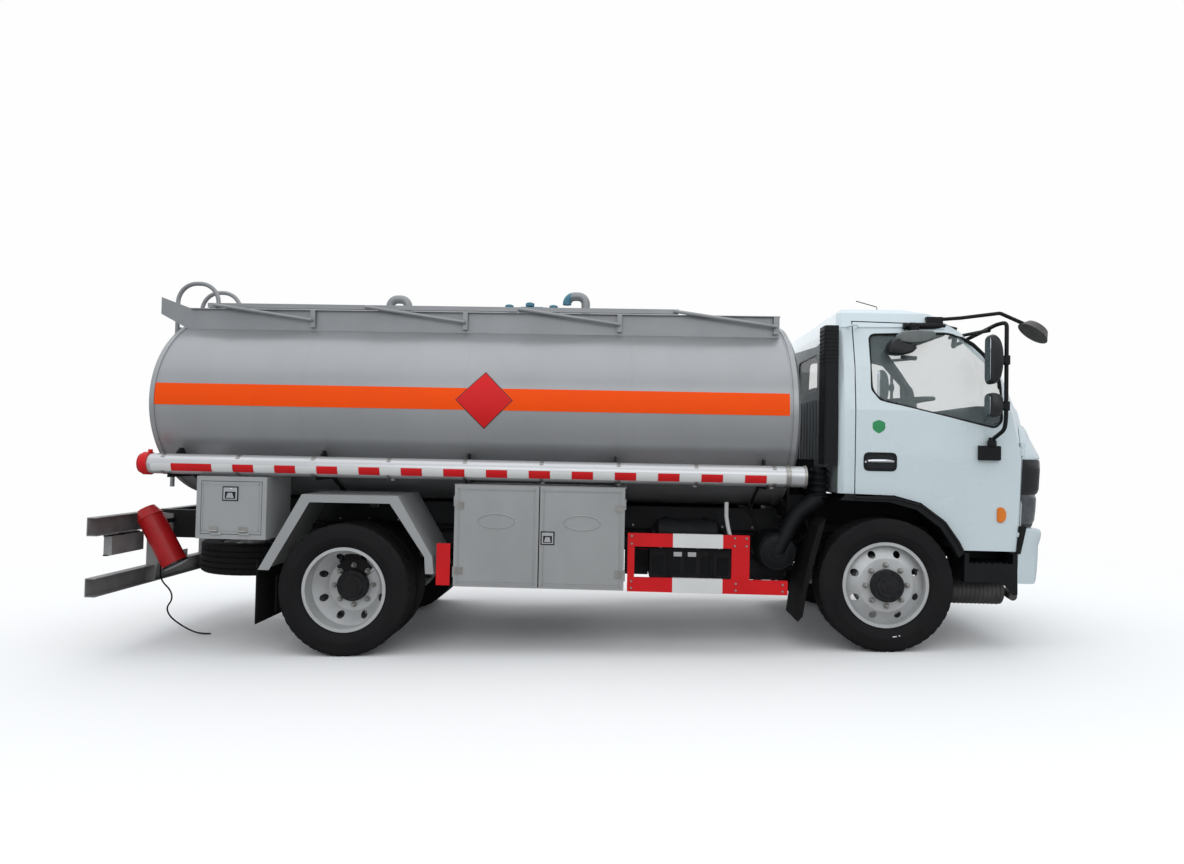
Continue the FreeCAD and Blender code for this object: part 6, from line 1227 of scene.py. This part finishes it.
# Running gear and what hangs below
def make_chassis_details():
    places = [(560 - k * 232, side * FRAME_Y, z) for side in (-1, 1) for k in range(26) for z in (642, 790)]
    discs("frame_bolts", "steel", "chassis", "y", places, 9, 10, 6, smooth=False)
    # Brake air tanks, pipes and a loom seen between the boxes and the cab
    air = Shape()
    for x0, y, z in ((-1600, -540, 760), (-1090, -520, 500)):
        air.lathe("x", (x0, y, z), [(0, 0.1), (8, 60), (30, 95), (470, 95), (492, 60), (500, 0.1)], 32)
        for x in (x0 + 90, x0 + 400):
            air.lathe("x", (x, y, z), [(-14, 95), (-14, 98), (14, 98), (14, 95)], 32)
            air.box(x - 14, x + 14, y, -402, max(z + 80, 596), max(z + 100, 612))
    air.done("air_tanks", "frame", "chassis")
    pipes = Shape().sweep([(-1086, -800, 1006), (-1086, -800, 900), (-1074, -800, 830), (-1058, -800, 762),
                           (-1058, -700, 700), (-1058, -420, 700)], 15, 12)
    pipes.done("white_vent_pipe", "white", "chassis")
    loom = Shape()
    for k, (z, sag) in enumerate(((770, 18), (742, 26), (716, 14))):
        points = []
        for i in range(40):
            x = 480 - i * 140
            points.append((x, -412 - 3 * k, z - sag * abs(math.sin(i * 1.3))))
        loom.sweep(points, 9 - 2 * k, 6)
    loom.done("frame_loom", "rubber", "chassis")
    runs("engine_hoses", "rubber", "chassis", [
        ([(-640, -560, 1020), (-560, -600, 900), (-480, -640, 860), (-420, -600, 760), (-420, -420, 700)],
         24, 12),
        ([(-560, -700, 980), (-500, -740, 900), (-470, -760, 800), (-560, -700, 700), (-700, -600, 640)],
         15, 10),
        ([(-900, -640, 1000), (-860, -660, 860), (-820, -640, 780), (-760, -560, 760)], 14, 10)])
    clamps = Shape()
    for k in range(5):
        z = 1062 + k * 46
        clamps.lathe("z", (-417, -800, z), [(0, 60), (0, 70), (8, 70), (8, 60)], 28)
    clamps.done("bellows_ribs", "plastic", "chassis")
    cover = Shape()
    cover.lathe("y", (-716, -840, 653), [(-8, 0.1), (-8, 46), (-3, 52), (-3, 108), (0, 114), (10, 132),
                                         (26, 141), (26, 132)], 48)
    for c, s in around(12):
        x, z = -716 + 80 * c, 653 + 80 * s
        cover.box(x - 5, x + 5, -848, -842, z - 5, z + 5)
    cover.done("air_filter_cover", "plastic", "chassis")
    battery = Shape()
    battery.box(-1642, -1050, -806, -400, 640, 656)
    for x in (-1500, -1190):
        battery.box(x - 14, x + 14, -808, -400, 432, 660)
    for k in range(5):
        battery.box(-1620 + k * 118, -1540 + k * 118, -804, -800, 470, 600)
    battery.done("battery_cover", "plastic", "chassis", bevel=3)
    boxes("battery_labels_blank", "white", "chassis",
          [(x, x + 60, -811, -806, 602, 634) for x in (-1467, -1363)])
    discs("battery_terminals", "steel", "chassis", "z",
          [(x, -760, 664) for x in (-1560, -1400, -1290, -1130)], 11, 18, 12)
    straps = Shape()
    for x in (-2780, -2170):
        outline = rounded_box(402, 1015, 374, 926, 110, 8)
        for first, second in zip(outline, outline[1:]):
            straps.prism("x", [first, second, (second[0] * 0.995, (second[1] - 650) * 0.985 + 650),
                               (first[0] * 0.995, (first[1] - 650) * 0.985 + 650)], x - 22, x + 22)
    straps.done("fuel_tank_straps", "frame", "chassis")
    Shape().disc("z", (-2060, 820, 932), 48, 30, 28).done("fuel_cap", "plastic", "chassis", bevel=2)
    exhaust = Shape()
    for k in range(13):
        x = 585 + k * 31
        exhaust.lathe("x", (x, -560, 380), [(0, 104), (2, 107), (9, 107), (11, 104)], 36)
    exhaust.done("silencer_ribs", "dull", "chassis")
    pipe = Shape().sweep([(985, -560, 380), (1010, -560, 380), (1030, -580, 370), (1040, -620, 356),
                          (1040, -680, 350)], 30, 16)
    pipe.done("exhaust_tail", "dull", "chassis")
    boxes("mud_flap_ribs", "rubber", "chassis",
          [(-4330, -4314, y - 5, y + 5, 160, 420) for side in (-1, 1)
           for y in (side * (640 + k * 62) for k in range(7))], bevel=1)


def make_cab_rear():
    """The cab's rear rest and its ribs in painted shade, the bay's wall, hoses, near-black screens of painted
    shade between parts, and the walkway's drains.
    """
    rest = Shape()
    for side in (-1, 1):
        rest.box(-452, -408, side * 404 - 18, side * 404 + 18, 700, 1180)
        rest.box(-470, -360, side * 404 - 40, side * 404 + 40, 1150, 1180)
        rest.sweep([(-430, side * 404, 900), (-430, side * 700, 1060), (-430, side * 860, 1060)], 20, 12)
    rest.box(-452, -408, -640, 640, 1100, 1150)
    rest.done("cab_rear_rest", "frame", "chassis", bevel=3)
    boxes("tank_front_lockers", "frame", "chassis",
          [(-610, -590, -620, 620, 880, 1240), (-600, -470, -600, -380, 860, 1060),
           (-600, -470, 380, 600, 860, 1060)], bevel=6)
    hoses = Shape()
    for k in range(6):
        y = -700 + k * 46
        hoses.sweep([(-570, y, 1150 - 12 * k), (-520, y - 20, 1250), (-470, y - 10, 1180),
                     (-440, y + 10, 1040), (-430, y + 30, 900), (-440, y + 120, 800)], 11 + k % 3 * 3, 10)
    hoses.done("bay_hoses", "rubber", "chassis")
    runs("walkway_drains", "walkway", "chassis",
         [([(-697, y, 2251), (-640, y, 2262), (-575, y, 2240), (-552, y, 2184), (-548, y, 1900),
            (-560, y, 1300)], 15, 12) for y in (-250, 250)])
    # The rear ribs get the darker cab paint: painted shade of the rear wall.
    boxes("cab_rear_ribs", "shade", "cab",
          [(-341, -333, y - 22, y + 22, 1240, 1800) for y in range(-520, 521, 104)], bevel=3)
    # Near-black sheets inside the frame, under the tank's front and behind the cab: painted shade that closes
    # the gaps where the backdrop would show.
    boxes("inner_painted_shade_screens", "frame", "chassis",
          [(-1822, -1640, -430, -404, 410, 600), (-1050, -870, -430, -404, 470, 600),
           (-1900, -640, -300, 300, 830, 880), (-700, -345, -330, -316, 1050, 1330)])


def make_cab_inside():
    """The dash hood, and the steering wheel at the photograph's height in place of the frame's low ring."""
    node = NODES["cab_interior"]
    mesh = node.data.copy()
    work = bmesh.new()
    work.from_mesh(mesh)
    ring = []
    for face in work.faces:
        spot = (LEAN_BACK @ face.calc_center_median()) / MM
        if face.calc_area() < 0.004 and 300 < spot.y < 820 and spot.z > 1480 and spot.x < 700:
            ring.append(face)
    bmesh.ops.delete(work, geom=ring, context="FACES")
    work.to_mesh(mesh)
    work.free()
    inside = bpy.data.objects.new("cab_inside", mesh)
    bpy.context.scene.collection.objects.link(inside)
    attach(inside, "cab")
    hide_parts("cab_interior")
    hood = Shape().prism("y", rounded([(640, 1560), (632, 1690), (664, 1740), (770, 1742), (872, 1706),
                                       (900, 1560)], 36), -830, 830)
    hood.done("dash_hood", "trim", "cab", bevel=6)
    wheel = Shape()
    centre = Vector((680, 560, 1872))
    tilt = math.radians(4)
    along, across = Vector((math.cos(tilt), 0, math.sin(tilt))), Vector((0, 1, 0))
    up = Vector((-math.sin(tilt), 0, math.cos(tilt)))
    wheel.sweep([centre + (along * c + across * s) * 222 for c, s in around(40)], 17, 12, True)
    for c, s in around(3, 0.75):
        wheel.sweep([centre - up * 26, centre + (along * c + across * s) * 216], [24, 14], 10)
    wheel.sweep([centre - up * 52, centre - up * 10, centre + up * 4], [66, 70, 52], 24)
    wheel.sweep([centre - up * 40, Vector((740, 560, 1640))], [34, 46], 16)
    wheel.done("steering_wheel", "trim", "cab")


def make_wheel_housings():
    """Shock absorbers, spring clips and brake chambers by the axles."""
    runs("shock_absorbers", "cast", "chassis",
         [([(150, side * y0, z0), (150, side * y1, z1)], radius, 16) for side in (-1, 1)
          for y0, z0, y1, z1, radius in ((520, 470, 500, 640, 34), (500, 640, 486, 800, 22))])
    clips = Shape()
    for side in (-1, 1):
        for x in (-75, 75):
            clips.box(x - 10, x + 10, side * 438 - 46, side * 438 + 46, 440, 600)
        for x in (-WHEELBASE - 80, -WHEELBASE + 80):
            clips.box(x - 10, x + 10, side * 438 - 46, side * 438 + 46, 400, 640)
    clips.done("spring_clips", "cast", "chassis")
    chambers = Shape()
    for side in (-1, 1):
        chambers.disc("x", (-WHEELBASE + 250, side * 520, 480), 84, 150, 28)
        chambers.disc("x", (-WHEELBASE + 250, side * 520, 480), 92, 14, 28)
    chambers.done("brake_chambers", "cast", "chassis")


def make_extinguishers():
    lean = math.radians(30)
    along = Vector((-math.sin(lean), 0, math.cos(lean)))
    other, across = Vector((math.cos(lean), 0, math.sin(lean))), Vector((0, 1, 0))
    for side, word in SIDES:
        foot = Vector((-5235, side * 700, 430))
        bands = Shape()
        for share in (0.04, 0.97):
            middle = foot + along * (430 * share)
            bands.sweep([middle + (other * c + across * s) * 93 for c, s in around(40)], 4.5, 8, True)
        bands.done(f"extinguisher_bands_{word}", "dark_red", "chassis")
        low = foot - along * 2
        base = Shape().sweep([low + along * 20, low + along * 4, low + along * 0.5], [94, 96, 90], 36)
        base.done(f"extinguisher_foot_{word}", "gloss", "chassis")


# The earth strap's route, from the front axle in metres, the same points as in the part's source
STRAP = [(-5.475, -0.475, 0.6468), (-5.481, -0.475, 0.545), (-5.480, -0.472, 0.440), (-5.400, -0.466, 0.360),
         (-5.392, -0.460, 0.285), (-5.445, -0.455, 0.222), (-5.420, -0.446, 0.150), (-5.350, -0.436, 0.090),
         (-5.270, -0.424, 0.038), (-5.190, -0.415, 0.007), (-5.110, -0.408, 0.007)]
STRAP_RADIUS, STRAP_LENGTH = 0.006, 0.887


def make_earth_strap():
    """A limp rubber strap from its tab under the frame down to the ground."""
    curve = bpy.data.curves.new("earth_strap_line", "CURVE")
    curve.dimensions = "3D"
    spline = curve.splines.new("NURBS")
    spline.points.add(len(STRAP) - 1)
    places = [(FRONT_X * MM + x, y, z) for x, y, z in STRAP]
    for point, place in zip(spline.points, places):
        point.co = (*place, 1)
    spline.order_u = 3
    spline.use_endpoint_u = True
    spline.resolution_u = 12
    curve.bevel_depth = STRAP_RADIUS
    curve.bevel_resolution = 4
    curve.use_fill_caps = True
    curve.materials.append(M["rubber"])
    strap = bpy.data.objects.new("earth_strap_rubber", curve)
    bpy.context.scene.collection.objects.link(strap)
    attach(strap, "chassis")
    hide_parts("earth_strap")


def paint_faces(node_name, keys, choose):
    """Several finishes on one carried node: choose gives the finish's number for a face's centre and way."""
    mesh = NODES[node_name].data
    mesh.materials.clear()
    for key in keys:
        mesh.materials.append(M[key])
    for polygon in mesh.polygons:
        spot = (LEAN_BACK @ polygon.center) / MM
        polygon.material_index = choose(spot, polygon.normal)


def cab_finish(spot, normal):
    """Paint outside, dark trim on faces that look inwards, black in the wheel arch, painted shade on the rear
    wall.
    """
    inward = (CAB_HEART - spot).normalized().dot(normal)
    if spot.z < 1120 and spot.x < 720 and abs(normal.y) < 0.6 and inward < 0.5:
        return 2
    if inward > 0.2 and abs(spot.y) < 1000 and spot.z > 690:
        return 1
    # Faces looking backwards on the rear wall get the darker cab paint: painted shade.
    if normal.x < -0.9 and spot.x < -290 and spot.z < 2250:
        return 3
    return 0


CAB_HEART = Vector((380, 0, 1650))


def paint_carried():
    paint_faces("bumper_and_steps", ("bumper", "plastic"), lambda p,
            n: 0 if p.x > 905 and abs(p.z) < 720 and p.z > 497 and not (abs(p.y) < 470 and p.x < 1000) else 1)
    paint_faces("hose_tubes", ("tube", "guard_red"), lambda p, n: 1 if p.x < -5228.5 else 0)
    paint_faces("front_mirror", ("plastic", "dull"), lambda p, n: 1 if p.x > 905 else 0)
    paint_faces("tank_top_fittings", ("lid", "walkway"), lambda p, n: 0 if abs(p.x - LID_X) < 330 else 1)
    for node_name in ("cab_shell", "door_right", "door_left"):
        paint_faces(node_name, ("cab", "trim", "plastic", "shade"), cab_finish)
    paint_faces("cab_interior", ("seat", "plastic"), lambda p, n: 0 if p.x < 345 else 1)
    paint_faces("extinguisher_holders", ("dark_red", "frame"), lambda p, n: 0 if abs(p.y) > 600 else 1)
    paint_faces("side_guards", ("guard_red", "frame"), lambda p, n: 0 if abs(p.y) > 1100 else 1)
    for _, word in SIDES:
        paint_faces(f"rim_front_{word}", ("rim", "cast"), lambda p,
                    n: 0 if abs(p.y) > FRONT_Y - FRONT_FACE and math.hypot(p.x, p.z - TYRE_R) > 118 else 1)
        paint_faces(f"rim_rear_{word}", ("rim", "cast"),
                    lambda p, n: 0 if math.hypot(p.x + WHEELBASE, p.z - TYRE_R) > 118 else 1)


make_stage()
make_camera()
make_earth_strap()
make_light()
make_wheels()
make_tank()
make_hose_tubes()
make_walkway()
make_top()
make_boxes()
make_guards()
make_cab_trim()
make_cab_front()
make_mirrors()
make_kerb_mirror()
make_chassis_details()
make_cab_rear()
make_wheel_housings()
make_extinguishers()
paint_carried()
make_cab_inside()
